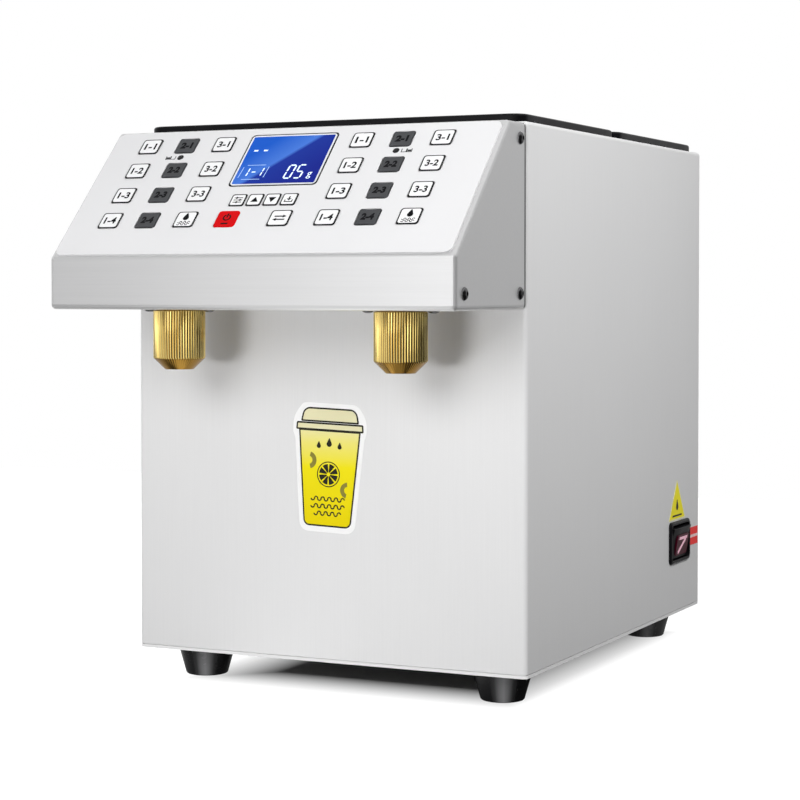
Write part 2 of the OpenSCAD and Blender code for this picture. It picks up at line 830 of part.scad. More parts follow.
module hose_level(z, front, back) {
    translate([0, back, z]) rotate([90, 0, 0]) difference() {
        cylinder(d = hose_d, h = back - front);
        translate([0, 0, -1]) cylinder(d = hose_bore, h = back - front + 2);
    }
}

// Quarter bend about a middle, from one angle of the YZ plane to the next 90 degrees
module hose_turn(mid, from) {
    translate([0, mid[0], mid[1]]) rotate([90, 0, 90]) rotate(from) rotate_extrude(angle = 90)
        translate([hose_bend, 0]) difference() {
            circle(d = hose_d);
            circle(d = hose_bore);
        }
}

module hose(side, y) {
    front_spout = y - pump_head[1] / 2;
    translate([side * nozzle_x, 0, 0]) {
        hose_up(y, pump_top + spout_l - hose_push, tank_floor_z - spout_l + hose_push);
        hose_level(outlet_z, riser_y + hose_bend, front_spout - spout_l + hose_push);
        hose_turn([riser_y + hose_bend, outlet_z + hose_bend], 180);
        hose_up(riser_y, outlet_z + hose_bend, hose_z - hose_bend);
        hose_turn([riser_y - hose_bend, hose_z - hose_bend], 0);
        hose_level(hose_z, -nozzle_y + hose_bend, riser_y - hose_bend);
        hose_turn([-nozzle_y + hose_bend, hose_z - hose_bend], 90);
        hose_up(-nozzle_y, barb_top - hose_push, hose_z - hose_bend);
    }
}

module hoses() {
    color("ivory") in_frame() {
        hose(-1, tank_mid_y[0]);
        hose(1, tank_mid_y[1]);
    }
}

module power_supply() {
    color("lightgray") in_frame()
        translate([-inlet_x - supply_w / 2, body_d - supply_back - supply_l, floor_z])
            cube([supply_w, supply_l, supply_h]);
}

// Bush that the supply cord comes through, with a nut inside the cover
module supply_inlet() {
    color("black") in_frame() translate([inlet_x, body_d, inlet_z]) rotate([-90, 0, 0]) difference() {
        union() {
            translate([0, 0, sheet]) cylinder(d = inlet_flange_d, h = 3);
            translate([0, 0, sheet]) cylinder(d = inlet_neck_d, h = inlet_reach - sheet);
            translate([0, 0, -8]) cylinder(d = inlet_neck_d, h = 8 + sheet + eps);
            translate([0, 0, -5]) cylinder(d = inlet_flange_d, h = 5, $fn = 6);
        }
        translate([0, 0, -20]) cylinder(d = inlet_bore, h = 40);
    }
}

casing();
back_cover();
base_plate();
feet();
front_tank();
rear_tank();
front_lid();
rear_lid();
head_shell();
head_bracket();
panel_foil();
display_glass();
control_board();
screws();
nozzle_body(-1);  // left_nozzle_body
nozzle_body(1);  // right_nozzle_body
seal_ring(-1);  // left_seal_ring
seal_ring(1);  // right_seal_ring
nozzle_cap(-1);  // left_nozzle_cap
nozzle_cap(1);  // right_nozzle_cap
valve_core(-1);  // left_valve_core
valve_core(1);  // right_valve_core
valve_spring(-1);  // left_valve_spring
valve_spring(1);  // right_valve_spring
switch_frame();
switch_rocker();
pumps();
hoses();
power_supply();
supply_inlet();
dosing_key(-1, 1, 1);  // left_key_1_1
dosing_key(-1, 2, 1);  // left_key_2_1
dosing_key(-1, 3, 1);  // left_key_3_1
dosing_key(-1, 1, 2);  // left_key_1_2
dosing_key(-1, 2, 2);  // left_key_2_2
dosing_key(-1, 3, 2);  // left_key_3_2
dosing_key(-1, 1, 3);  // left_key_1_3
dosing_key(-1, 2, 3);  // left_key_2_3
dosing_key(-1, 3, 3);  // left_key_3_3
dosing_key(-1, 1, 4);  // left_key_1_4
dosing_key(-1, 2, 4);  // left_key_2_4
dosing_key(-1, 3, 4);  // left_key_flow
dosing_key(1, 1, 1);  // right_key_1_1
dosing_key(1, 2, 1);  // right_key_2_1
dosing_key(1, 3, 1);  // right_key_3_1
dosing_key(1, 1, 2);  // right_key_1_2
dosing_key(1, 2, 2);  // right_key_2_2
dosing_key(1, 3, 2);  // right_key_3_2
dosing_key(1, 1, 3);  // right_key_1_3
dosing_key(1, 2, 3);  // right_key_2_3
dosing_key(1, 3, 3);  // right_key_3_3
dosing_key(1, 1, 4);  // right_key_1_4
dosing_key(1, 2, 4);  // right_key_2_4
dosing_key(1, 3, 4);  // right_key_flow
small_setting_key(1);  // set_key
small_setting_key(2);  // up_key
small_setting_key(3);  // down_key
small_setting_key(4);  // store_key
power_key();
change_key();
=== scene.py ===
# %% [markdown]
# # Dressing a two-head syrup dispenser
# The machine is a bent stainless box with a sloped head, a foil key panel, two knurled brass
# nozzles and two black tank lids. Its solids come measured from the CAD model. This lesson adds
# what the eye looks for: brushed metal, printed keys, a lit display, a sticker and soft light.
# A measured frame is loaded first, because every later piece takes its place from it.

# %% Load the measured frame
import json
import math

import bmesh
import bpy
from mathutils import Matrix, Vector


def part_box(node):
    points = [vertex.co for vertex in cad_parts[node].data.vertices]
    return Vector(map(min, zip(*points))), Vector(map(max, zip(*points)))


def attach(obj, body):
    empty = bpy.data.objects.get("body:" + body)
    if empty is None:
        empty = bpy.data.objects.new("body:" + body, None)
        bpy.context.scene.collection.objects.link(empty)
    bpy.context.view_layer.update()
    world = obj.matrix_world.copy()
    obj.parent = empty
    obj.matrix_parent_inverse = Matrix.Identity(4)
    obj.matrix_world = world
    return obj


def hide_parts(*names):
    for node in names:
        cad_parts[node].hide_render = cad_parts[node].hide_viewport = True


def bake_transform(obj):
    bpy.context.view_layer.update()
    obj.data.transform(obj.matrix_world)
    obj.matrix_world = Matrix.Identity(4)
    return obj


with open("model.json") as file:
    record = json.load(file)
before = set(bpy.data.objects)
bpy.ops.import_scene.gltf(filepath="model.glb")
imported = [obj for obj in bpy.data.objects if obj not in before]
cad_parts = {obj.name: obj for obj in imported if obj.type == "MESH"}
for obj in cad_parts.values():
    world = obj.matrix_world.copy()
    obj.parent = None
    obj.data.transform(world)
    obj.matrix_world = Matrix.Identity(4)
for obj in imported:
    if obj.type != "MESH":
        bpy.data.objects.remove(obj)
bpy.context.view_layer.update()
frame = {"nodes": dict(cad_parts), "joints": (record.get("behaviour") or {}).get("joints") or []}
nodes = frame["nodes"]
MM = 0.001

# %% [markdown]
# ## The camera
# The picture is taken from the front right, a little above the counter. A long lens keeps the
# upright edges nearly parallel, and a small shift of the lens frames the machine without
# tilting the camera, as an architect's lens does.

# %% Camera at the picture's angle
link = bpy.context.scene.collection.objects.link
turn, tilt = math.radians(25.59), math.radians(1.58)
backwards = Vector((math.sin(turn) * math.cos(tilt), -math.cos(turn) * math.cos(tilt),
                    math.sin(tilt)))
lens = bpy.data.cameras.new("portrait_camera")
lens.lens, lens.sensor_width = 95.35, 36.0
lens.shift_x, lens.shift_y = 0.005, -0.0697
camera = bpy.data.objects.new("portrait_camera", lens)
camera.location = (0.6286, -1.3328, 0.2636)
camera.rotation_euler = backwards.to_track_quat("Z", "Y").to_euler()
link(camera)
bpy.context.scene.camera = camera
bpy.context.scene.view_settings.view_transform = "Standard"
print("camera", tuple(round(c, 4) for c in camera.location))

# %% [markdown]
# ## Wiring shader nodes
# The room, the floor and every finish are built of shader nodes. A few short helpers keep that
# wiring readable: one fills an input with a value or a link, one adds a node and fills its
# inputs in their order, and three more do arithmetic, colour ramps and mixing.

# %% Node helpers


def plug(tree, value, socket):
    """Fills an input with a value or a link. A node stands for its first output."""
    if isinstance(value, bpy.types.Node):
        value = value.outputs[0]
    if isinstance(value, bpy.types.NodeSocket):
        tree.links.new(value, socket)
    elif value is not None:
        socket.default_value = value


def wire(tree, kind, *values, **settings):
    """Adds a shader node with its settings and fills its inputs in their order."""
    made = tree.nodes.new("ShaderNode" + kind)
    for name, value in settings.items():
        setattr(made, name, value)
    for socket, value in zip(made.inputs, values):
        plug(tree, value, socket)
    return made


def calc(tree, operation, *values):
    """One step of arithmetic."""
    return wire(tree, "Math", *values, operation=operation)


def ramp(tree, value, stops):
    """Colours along a value, from a list of (position, colour)."""
    band = wire(tree, "ValToRGB", value)
    while len(band.color_ramp.elements) < len(stops):
        band.color_ramp.elements.new(0.5)
    for element, (position, colour) in zip(band.color_ramp.elements, stops):
        element.position, element.color = position, (*colour, 1)
    return band


def mixed(tree, factor, first, second):
    """Two colours, mixed by a factor."""
    made = wire(tree, "Mix", data_type="RGBA")
    for name, value in (("Factor", factor), ("A", first), ("B", second)):
        plug(tree, value, made.inputs[name])
    return made.outputs["Result"]


print("node helpers ready")

# %% [markdown]
# ## The room
# Metal shows what stands round it. So for reflections the world is a ring of studio walls, given
# by their bearing in degrees as seen from the machine. One bright panel stands in front, a little
# to the left, with a pale wall at its right and a dark gap at its left. A long dark curtain hangs
# along the right side, the left side is pale and the back is grey. The brass needs the dark parts,
# because a polished cylinder in an all-white room looks flat. Overhead the room is pale as well.
# For the camera itself the world is plain white.

# %% Walls for reflections
WALLS = [(-180, 0.20), (-150, 0.46), (-66, 0.42), (-56, 0.18), (-42, 0.06), (-33, 0.16),
         (-24, 0.92), (-8, 0.92), (2, 0.42), (30, 0.40), (38, 0.12), (48, 0.02), (115, 0.015),
         (132, 0.20), (180, 0.20)]
GLOW, OVERHEAD, AMBIENT = 2.75, 0.36, 0.05
WHITE = (1, 1, 1, 1)
world = bpy.data.worlds.new("pale_room")
bpy.context.scene.world = world
world.use_nodes = True
room = world.node_tree
room.nodes.clear()


def wall_tones(tree, x, y):
    """The tone of the wall in the direction of x and y."""
    bearing = calc(tree, "ARCTAN2", x, calc(tree, "MULTIPLY", y, -1.0))
    around = wire(tree, "MapRange", bearing, -math.pi, math.pi)
    return ramp(tree, around, [((degrees + 180) / 360, (tone,) * 3) for degrees, tone in WALLS])


toward = wire(room, "SeparateXYZ", wire(room, "TexCoord").outputs["Generated"])
upwards = wire(room, "MapRange", toward.outputs["Z"], 0.45, 0.8)
walls = wall_tones(room, toward.outputs["X"], toward.outputs["Y"])
shell = mixed(room, upwards, walls, (OVERHEAD, OVERHEAD, OVERHEAD, 1))
ray = wire(room, "LightPath")
lit = wire(room, "MixShader", ray.outputs["Is Glossy Ray"],
           wire(room, "Background", WHITE, AMBIENT), wire(room, "Background", shell, GLOW))
shown = wire(room, "MixShader", ray.outputs["Is Camera Ray"], lit,
             wire(room, "Background", WHITE, 1.0))
wire(room, "OutputWorld", shown)
print("world nodes:", len(room.nodes))

# %% [markdown]
# A lamp in front, a little to the left and low, throws the soft shadows of the nozzles on the box.
# A wide one higher up lights the panel and most of the front, and the head keeps its light off
# the strip right below, which is why the box darkens there. One at the right keeps the side pale
# near its upper front corner, and two stand at the back and the left for whoever walks round.
# Lamps would show as glaring spots in polished metal, so all of them are hidden from reflections,
# and the walls alone give the metal its highlights.

# %% Lamps
AIM, LOW_AIM = (0.0, 0.0, 0.22), (0.0, -0.1, 0.22)
LAMPS = (("front_lamp", (-0.18, -1.82, 0.10), LOW_AIM, 9.9, 0.45, 0.17),
         ("sky_lamp", (0.0, -1.75, 0.85), AIM, 15.0, 0.9, None),
         ("right_lamp", (0.85, -0.16, 0.90), AIM, 9.4, 0.4, None),
         ("back_lamp", (-0.5, 1.9, 0.95), AIM, 20.0, 1.0, None),
         ("left_lamp", (-1.4, 0.3, 0.95), AIM, 13.0, 0.8, None))
for name, place, aim, watts, width, height in LAMPS:
    light = bpy.data.lights.new(name, "AREA")
    light.shape, light.size, light.energy = "DISK", width, watts
    if height:
        light.shape, light.size_y = "RECTANGLE", height
    lamp = bpy.data.objects.new(name, light)
    lamp.location = place
    lamp.rotation_euler = (Vector(place) - Vector(aim)).to_track_quat("Z", "Y").to_euler()
    lamp.visible_glossy = False
    link(lamp)
print("lamps:", [name for name, *_ in LAMPS])

# %% [markdown]
# ## How a finish is made
# Each surface gets its own finish: a shader, and patterns that are worked out from the place on
# the machine in metres, so they have the right scale and stay where they are. Values that are
# the same all over are set on the shader itself, and patterns only drive colour, roughness and
# bumps. A pattern is a cloudy noise; stretched, its clouds become the streaks of brushed metal.

# %% The finish helper


class Finish:
    """One procedural material. Its methods add patterns and can be chained."""

    def __init__(self, name, colour, rough, metal=0.0, **sockets):
        self.material = bpy.data.materials.new(name)
        self.material.use_nodes = True
        self.tree = self.material.node_tree
        self.shader = self.tree.nodes["Principled BSDF"]
        self.colour = colour
        self.set(Base_Color=(*colour, 1), Roughness=rough, Metallic=metal, **sockets)

    def set(self, **sockets):
        """Fills inputs of the shader."""
        for name, value in sockets.items():
            plug(self.tree, value, self.shader.inputs[name.replace("_", " ")])
        return self

    def here(self, turned=(0, 0, 0), stretch=(1, 1, 1)):
        """Object coordinates, turned and stretched."""
        spot = wire(self.tree, "TexCoord").outputs["Object"]
        return wire(self.tree, "Mapping", spot, None, turned, stretch)

    def axes(self, **mapping):
        """The same coordinates, one output for each axis."""
        return wire(self.tree, "SeparateXYZ", self.here(**mapping))

    def noise(self, scale, stretch=(1, 1, 1)):
        """A cloudy pattern. Its clouds shrink as scale grows."""
        detail, rough = 3.0, 0.5
        return wire(self.tree, "TexNoise", self.here(stretch=stretch), None, scale, detail, rough)

    def tint(self, scale, spread, stretch=(1, 1, 1)):
        """The colour drifts a little darker and lighter with a pattern."""
        dark, light = (tuple(min(1.0, c * (1 + s)) for c in self.colour) for s in (-spread, spread))
        shades = ramp(self.tree, self.noise(scale, stretch), [(0.3, dark), (0.7, light)])
        return self.set(Base_Color=shades)

    def gloss(self, scale, low, high, stretch=(1, 1, 1)):
        """The roughness runs between two values with a pattern."""
        cloud = self.noise(scale, stretch)
        return self.set(Roughness=wire(self.tree, "MapRange", cloud, 0.3, 0.7, low, high))

    def bumps(self, scale, strength, distance=0.0002, stretch=(1, 1, 1)):
        """Raises and sinks the surface with a pattern."""
        filter_width = None
        return self.set(Normal=wire(self.tree, "Bump", strength, distance, filter_width,
                                    self.noise(scale, stretch)))


def dress(finish, *names):
    """Gives a finish to CAD nodes, whose shape stays as it is."""
    for name in names:
        mesh = nodes[name].data
        mesh.materials.clear()
        mesh.materials.append(finish.material)
    print(finish.material.name, "on", len(names), "nodes")


# %% [markdown]
# ## The floor
# The machine stands on a white sweep, a plain sheet that takes shadows. Its paper has a fine
# fibre. For bounced light it is paler at the front left than at the back right, because the room
# is. The finish's own shader does that much.

# %% Floor sheet and paper
HALF_SIDE = 1.2
floor_mesh = bmesh.new()
bmesh.ops.create_grid(floor_mesh, x_segments=1, y_segments=1, size=HALF_SIDE)
floor_data = bpy.data.meshes.new("floor")
floor_mesh.to_mesh(floor_data)
floor_mesh.free()
floor = bpy.data.objects.new("floor", floor_data)
link(floor)
paper = Finish("floor_paper", (0.8, 0.8, 0.8), 0.9)
tree = paper.tree
at = paper.axes()
corner = calc(tree, "ADD", at.outputs["X"], at.outputs["Y"])
fibre = wire(tree, "TexNoise", None, None, 60.0)
dents = wire(tree, "Bump", 0.02, None, None, fibre)
paper.set(Base_Color=wire(tree, "MapRange", corner, -0.25, 0.3, 0.26, 0.17), Normal=dents)
floor_data.materials.append(paper.material)
print("floor side in metres:", round(floor.dimensions.x, 1))

# %% [markdown]
# Light of its own, for the camera only, lifts the paper to the white of the background, so no
# horizon shows. It fades out in a rectangle under the box, a little narrower than the footprint and
# shifted to the right, and that rectangle is a painted shadow: the real shadow shows only inside
# it. How far a point lies outside that rectangle is the larger of its two distances past the
# middle, one for each side of it. In mirrors the floor repeats the tones of the walls, as a smooth
# floor does, and the painted shadow shows there too.

# %% Floor for the camera and for mirrors
PAINTED_SHADOW_MIDDLE, PAINTED_SHADOW_HALF, MIRROR = (0.008, 0.0485, 0), (0.132, 0.175, 0), 0.52
centred = wire(tree, "VectorMath", paper.here(), PAINTED_SHADOW_MIDDLE, operation="SUBTRACT")
folded = wire(tree, "VectorMath", centred, operation="ABSOLUTE")
past = wire(tree, "SeparateXYZ",
            wire(tree, "VectorMath", folded, PAINTED_SHADOW_HALF, operation="SUBTRACT"))
outside = calc(tree, "MAXIMUM", past.outputs["X"], past.outputs["Y"])
# Painted shadow: the lift falls to nothing inside the rectangle, so the floor is left dark there.
rise = wire(tree, "MapRange", outside, -0.060, -0.005, 0.0, 1.0)
lifted = wire(tree, "AddShader", paper.shader, wire(tree, "Emission", None, rise))
tones = wall_tones(tree, at.outputs["X"], at.outputs["Y"])
gleam = wire(tree, "Emission", tones, calc(tree, "MULTIPLY", rise, MIRROR * GLOW))
look = wire(tree, "LightPath")
pick = wire(tree, "MixShader", look.outputs["Is Camera Ray"], paper.shader, lifted)
mirrored = wire(tree, "MixShader", look.outputs["Is Glossy Ray"], pick, gleam)
plug(tree, mirrored, tree.nodes["Material Output"].inputs["Surface"])
print("floor nodes:", len(tree.nodes))

# %% [markdown]
# ## Stainless sheet
# The box and the head are bent from brushed sheet. The mill draws fine lines along it, too fine
# to see one by one: they blur reflections in one direction and give the metal its silky grey.
# Streaks come from noise that is squeezed hard across the brushing. Larger, faint clouds in the
# roughness stand for finger marks and wiping. Along the head's back edge, where it meets the box,
# its colour is painted almost black as the shade in the gap, and a pale line along its lower edge
# is a painted highlight on the bend.

# %% Box and head sheet
box_sheet = Finish("box_sheet", (0.80, 0.80, 0.803), 0.54, 0.2).tint(1.0, 0.010, (900, 900, 14))
box_sheet.gloss(9.0, 0.50, 0.58).bumps(1.0, 0.03, 0.0001, (2600, 2600, 30))
dress(box_sheet, "casing", "back_cover")

head_sheet = Finish("head_sheet", (0.58, 0.58, 0.584), 0.30, 0.58)
head_sheet.gloss(11.0, 0.285, 0.32).bumps(1.0, 0.04, 0.0001, (25, 2600, 2600))
tree = head_sheet.tree
at = head_sheet.axes()
GAP_SHADE_FRONT, GAP_SHADE_BACK, head_base = -0.1292, -0.1284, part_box("head_shell")[0].z
grain = ramp(tree, head_sheet.noise(1.0, (12, 900, 900)),
             [(0.3, (0.57, 0.57, 0.574)), (0.7, (0.59, 0.59, 0.594))])
# Painted shade: near its back edge the head's colour turns almost black, as the gap to the box is
# in shade.
gap_shade = wire(tree, "MapRange", at.outputs["Y"], GAP_SHADE_FRONT, GAP_SHADE_BACK, 0.0, 0.85)
# Painted highlight: a pale line along the head's lower edge, where the bend catches light.
painted_edge_highlight = wire(tree, "MapRange", at.outputs["Z"], head_base + 0.0018, head_base + 0.0008, 0.0, 0.8)
with_gap_shade = mixed(tree, gap_shade, grain, (0.03, 0.03, 0.032, 1))
head_sheet.set(Base_Color=mixed(tree, painted_edge_highlight, with_gap_shade, (0.95, 0.95, 0.95, 1)))
dress(head_sheet, "head_shell")

# %% [markdown]
# The bracket behind the head keeps the mill's plain finish. The tanks are drawn and polished
# inside, so they are smoother, with cloudy marks that the syrup leaves.

# %% Bracket and tanks
mill_steel = Finish("mill_steel", (0.62, 0.62, 0.63), 0.34, 0.9)
dress(mill_steel.tint(1.0, 0.05, (30, 700, 700)).gloss(30.0, 0.28, 0.4), "head_bracket")
tank_steel = Finish("tank_steel", (0.70, 0.70, 0.71), 0.22, 0.95)
dress(tank_steel.tint(14.0, 0.03).gloss(45.0, 0.16, 0.3, (1, 1, 0.2)), "front_tank", "rear_tank")

# %% [markdown]
# ## Base, feet and small metal
# The base plate is painted pale, and the domed screws are plated dark and bright. The feet are
# moulded rubber with a fine grain. Each has a painted highlight: a soft pale band on the side that
# faces the camera's bearing, darker further round. To place that band, the pattern wraps both
# coordinates round at the feet's spacing, so that every point knows where it lies on its own foot,
# and takes its bearing there.

# %% Base plate, screws and feet
pale_paint = Finish("pale_paint", (0.86, 0.86, 0.86), 0.42)
dress(pale_paint.tint(25.0, 0.015).bumps(1800.0, 0.05, 0.0001), "base_plate")
dark_plating = Finish("dark_plating", (0.17, 0.17, 0.175), 0.1, 1.0)
dress(dark_plating.tint(600.0, 0.15).gloss(400.0, 0.06, 0.14), "screws")

foot_rubber = Finish("foot_rubber", (0.008, 0.008, 0.009), 0.25, Specular_IOR_Level=0.7)
foot_rubber.gloss(80.0, 0.2, 0.3).bumps(2500.0, 0.12, 0.0001)
feet_low, feet_high = (Vector(c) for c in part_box("feet"))
FOOT_X = 0.109
foot_y = feet_low.y + feet_high.x - FOOT_X
reach = (feet_low.y + feet_high.y) / 2 - foot_y
tree = foot_rubber.tree
at = foot_rubber.axes()
own_x = calc(tree, "ADD", calc(tree, "WRAP", at.outputs["X"], 0.0, -2 * FOOT_X), FOOT_X)
own_y = calc(tree, "SUBTRACT",
             calc(tree, "WRAP", at.outputs["Y"], foot_y + reach, foot_y - reach), foot_y)
bearing = calc(tree, "ARCTAN2", own_x, calc(tree, "MULTIPLY", own_y, -1.0))
off_painted_highlight = calc(tree, "ABSOLUTE", calc(tree, "SUBTRACT", bearing, turn))
# Painted highlight: pale where the foot faces the camera's bearing, near black further round.
foot_rubber.set(Base_Color=ramp(tree, off_painted_highlight, [
    (0.0, (0.26, 0.26, 0.265)), (0.16, (0.19, 0.19, 0.195)), (0.36, (0.045, 0.045, 0.046)),
    (0.56, (0.007, 0.007, 0.008))]))
dress(foot_rubber, "feet")

# %% [markdown]
# ## Brass nozzles
# The nozzle caps are turned from brass bar, knurled and polished. Polished brass is a clear mirror
# with a yellow tint, so its look is all in the room round it. Its colour is darker and browner in
# the valleys of the knurl and on the taper below it, as painted shade, and brighter on the crests,
# as a painted highlight. How deep a point lies shows in its distance from the nozzle's axis, so
# that distance drives the colour. Both axes are mirror images, so one pattern with x made positive
# serves both.

# %% Brass
brass = Finish("polished_brass", (0.86, 0.60, 0.17), 0.14, 1.0)
brass.gloss(260.0, 0.12, 0.15).bumps(1.0, 0.01, 0.0001, (40, 40, 3000))
cap_low, cap_high = (Vector(c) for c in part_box("right_nozzle_cap"))
cap_mid, cap_r = (cap_low + cap_high) / 2, (cap_high.x - cap_low.x) / 2
tree = brass.tree
folded = wire(tree, "VectorMath", brass.here(), operation="ABSOLUTE")
offset = wire(tree, "VectorMath", folded, (cap_mid.x, -cap_mid.y, 0), operation="SUBTRACT")
level = wire(tree, "VectorMath", offset, (1, 1, 0), operation="MULTIPLY")
radius = wire(tree, "VectorMath", level, operation="LENGTH").outputs["Value"]
depth = wire(tree, "MapRange", radius, cap_r - 0.0012, cap_r)
# Painted shade in the valleys and on the taper, and a painted highlight on the crests.
brass.set(Base_Color=ramp(tree, depth, [
    (0.0, (0.34, 0.19, 0.035)), (0.42, (0.24, 0.13, 0.024)), (0.52, (0.32, 0.18, 0.04)),
    (0.66, (0.80, 0.58, 0.17)), (1.0, (0.95, 0.74, 0.28))]))
print("cap axis at x", round(cap_mid.x, 4), "radius", round(cap_r, 4))

# %% [markdown]
# What sits in the caps only shows when they come off: a turned body, a rubber ring and a white
# nylon valve core.

# %% What is in the nozzles
turned_steel = Finish("turned_steel", (0.7, 0.7, 0.71), 0.25, 1.0)
turned_steel.tint(1.0, 0.06, (30, 30, 2500)).gloss(200.0, 0.2, 0.3)
seal_rubber = Finish("seal_rubber", (0.04, 0.04, 0.042), 0.45).tint(500.0, 0.3).bumps(1500.0, 0.1)
white_nylon = Finish("white_nylon", (0.82, 0.82, 0.79), 0.38).tint(150.0, 0.03)
white_nylon.bumps(1200.0, 0.04)
for finish, part in ((turned_steel, "nozzle_body"), (turned_steel, "valve_spring"),
                     (seal_rubber, "seal_ring"), (white_nylon, "valve_core")):
    dress(finish, f"left_{part}", f"right_{part}")

# %% [markdown]
# ## Inside the box
# Pumps, hoses, the board and the power supply only show when the covers are off, but each still
# gets the finish of the real thing.

# %% Inner pieces
pump_cast = Finish("pump_cast", (0.30, 0.32, 0.34), 0.45, 0.5)
dress(pump_cast.tint(70.0, 0.12).bumps(900.0, 0.2), "pumps")
clear_hose = Finish("clear_hose", (0.86, 0.85, 0.78), 0.28, Transmission_Weight=0.35, IOR=1.42)
dress(clear_hose.tint(60.0, 0.03).bumps(300.0, 0.05), "hoses")
board_green = Finish("board_green", (0.03, 0.20, 0.09), 0.4, Coat_Weight=0.4)
dress(board_green.tint(90.0, 0.3, (1, 6, 6)).bumps(700.0, 0.1), "control_board")
supply_case = Finish("supply_case", (0.66, 0.67, 0.68), 0.4, 0.7)
dress(supply_case.tint(1.0, 0.04, (30, 800, 30)).bumps(250.0, 0.08), "power_supply")
black_nylon = Finish("black_nylon", (0.018, 0.018, 0.019), 0.42)
dress(black_nylon.tint(200.0, 0.3).bumps(1800.0, 0.12), "supply_inlet")

# %% [markdown]
# ## Planes to draw on
# Shapes are drawn in millimetres about their own middle, and then placed on one of the machine's
# planes: the panel's slope, the box's front and side, or the level. The slope's direction is
# the one that its keys move in.

# %% Planes and measuring


def plane_at(corner, right, up):
    """A drawing plane: x runs right, y up, and z out of the surface."""
    plane = Matrix((right, up, right.cross(up))).transposed().to_4x4()
    plane.translation = corner
    return plane


press = next(j for j in frame["joints"] if j["name"] == "power_key_press")
x_axis, y_axis, z_axis = Vector((1, 0, 0)), Vector((0, 1, 0)), Vector((0, 0, 1))
up_slope = (-Vector(press["axis"])).cross(x_axis)
FOLD_HEIGHT = 0.281
case_low, case_high = (Vector(c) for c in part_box("casing"))
panel = plane_at(Vector((0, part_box("head_shell")[0].y, FOLD_HEIGHT)), x_axis, up_slope)
front = plane_at(Vector((0, case_low.y, 0)), x_axis, z_axis)
side = plane_at(Vector((case_high.x, case_low.y, 0)), y_axis, z_axis)
top = plane_at(Vector((0, 0, 0)), x_axis, y_axis)


def measured(node, plane):
    """Middle, size, lowest and highest level of a CAD node along a plane, in millimetres."""
    inside = plane.inverted()
    points = [inside @ v.co / MM for v in nodes[node].data.vertices]
    low = Vector([min(p[i] for p in points) for i in range(3)])
    high = Vector([max(p[i] for p in points) for i in range(3)])
    return (low + high) / 2, high - low, low.z, high.z


def moved(plane, x, y, z=0.0):
    """A plane with its middle moved by millimetres along its own directions."""
    return plane @ Matrix.Translation((x * MM, y * MM, z * MM))


print("slope angle:", round(math.degrees(math.atan2(up_slope.z, up_slope.y)), 2))

# %% [markdown]
# ## How a piece is made
# Most new pieces are moulded or stamped: a rounded outline that changes a little from level to
# level. So one helper draws a rounded rectangle, and stacks further outlines on it by extruding
# its face, moving it up and scaling it. Each level says how much smaller than the full size it
# is, and may start a new finish for its wall, which is how a printed outline gets its colour.

# %% Stacked outlines


def rounded_face(bm, w, h, r, z, hollow, steps):
    """A flat rounded rectangle. With hollow, its sides bend inwards by that many millimetres."""
    made = bmesh.ops.create_grid(bm, x_segments=8, y_segments=8, size=0.5)["verts"]
    corners = [v for v in made if abs(v.co.x) > 0.49 and abs(v.co.y) > 0.49]
    faces = list({f for v in made for f in v.link_faces})
    for v in made:
        x, y = v.co.x, v.co.y
        v.co = (x * w - hollow * 2 * x * (1 - 4 * y * y),
                y * h - hollow * 2 * y * (1 - 4 * x * x), z)
    bmesh.ops.dissolve_faces(bm, faces=faces)
    bmesh.ops.bevel(bm, geom=corners, offset=r, offset_type="OFFSET", affect="VERTICES",
                    segments=steps, profile=0.5, material=-1)
    return max((f for f in bm.faces if abs(f.calc_center_median().z - z) < 0.01),
               key=lambda f: f.calc_area())


def stack(bm, w, h, r, profile, hollow=0.0, steps=4, last=0):
    """Outlines on one another, each given as (z, how much smaller, finish of the wall up to it)."""
    levels = []
    for z, less, *finish in profile:
        less_w, less_h = less if isinstance(less, tuple) else (less, less)
        levels.append((z, w - less_w, h - less_h, finish[0] if finish else 0))
    z, first_w, first_h, _ = levels[0]
    face = rounded_face(bm, first_w, first_h, r, z, hollow, steps)
    for step, ((z0, w0, h0, _), (z1, w1, h1, finish)) in enumerate(zip(levels, levels[1:])):
        made = bmesh.ops.extrude_face_region(bm, geom=[face])["geom"]
        if step:
            bmesh.ops.delete(bm, geom=[face], context="FACES_ONLY")
        verts = [g for g in made if isinstance(g, bmesh.types.BMVert)]
        bmesh.ops.scale(bm, vec=(w1 / w0, h1 / h0, 1), verts=verts)
        bmesh.ops.translate(bm, vec=(0, 0, z1 - z0), verts=verts)
        face = next(g for g in made if isinstance(g, bmesh.types.BMFace))
        for wall in {f for edge in face.edges for f in edge.link_faces if f is not face}:
            wall.material_index = finish
    face.material_index = last


print("outline helpers ready")

# %% [markdown]
# A finished drawing is turned the right way out, placed, and given its finishes. It rides on the
# body that carries it on the real machine, and the solid that it stands for is hidden.

# %% From a drawing to a piece


def merge(into, bm):
    """Moves one drawing into another."""
    passed = bpy.data.meshes.new("passed")
    bm.to_mesh(passed)
    bm.free()
    into.from_mesh(passed)
    bpy.data.meshes.remove(passed)


def add_piece(bm, name, finishes, place, body, replaced=None, sharp=32):
    """Turns a drawing in millimetres into a piece that rides on a body, unless body is None."""
    bmesh.ops.recalc_face_normals(bm, faces=bm.faces)
    bmesh.ops.transform(bm, matrix=place @ Matrix.Scale(MM, 4), verts=bm.verts)
    mesh = bpy.data.meshes.new(name)
    bm.to_mesh(mesh)
    bm.free()
    for finish in finishes:
        mesh.materials.append(finish.material)
    mesh.polygons.foreach_set("use_smooth", [True] * len(mesh.polygons))
    mesh.set_sharp_from_angle(angle=math.radians(sharp))
    made = bpy.data.objects.new(name, mesh)
    link(made)
    if body:
        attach(made, body)
    if replaced:
        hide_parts(replaced)
    return made


print("piece helpers ready")

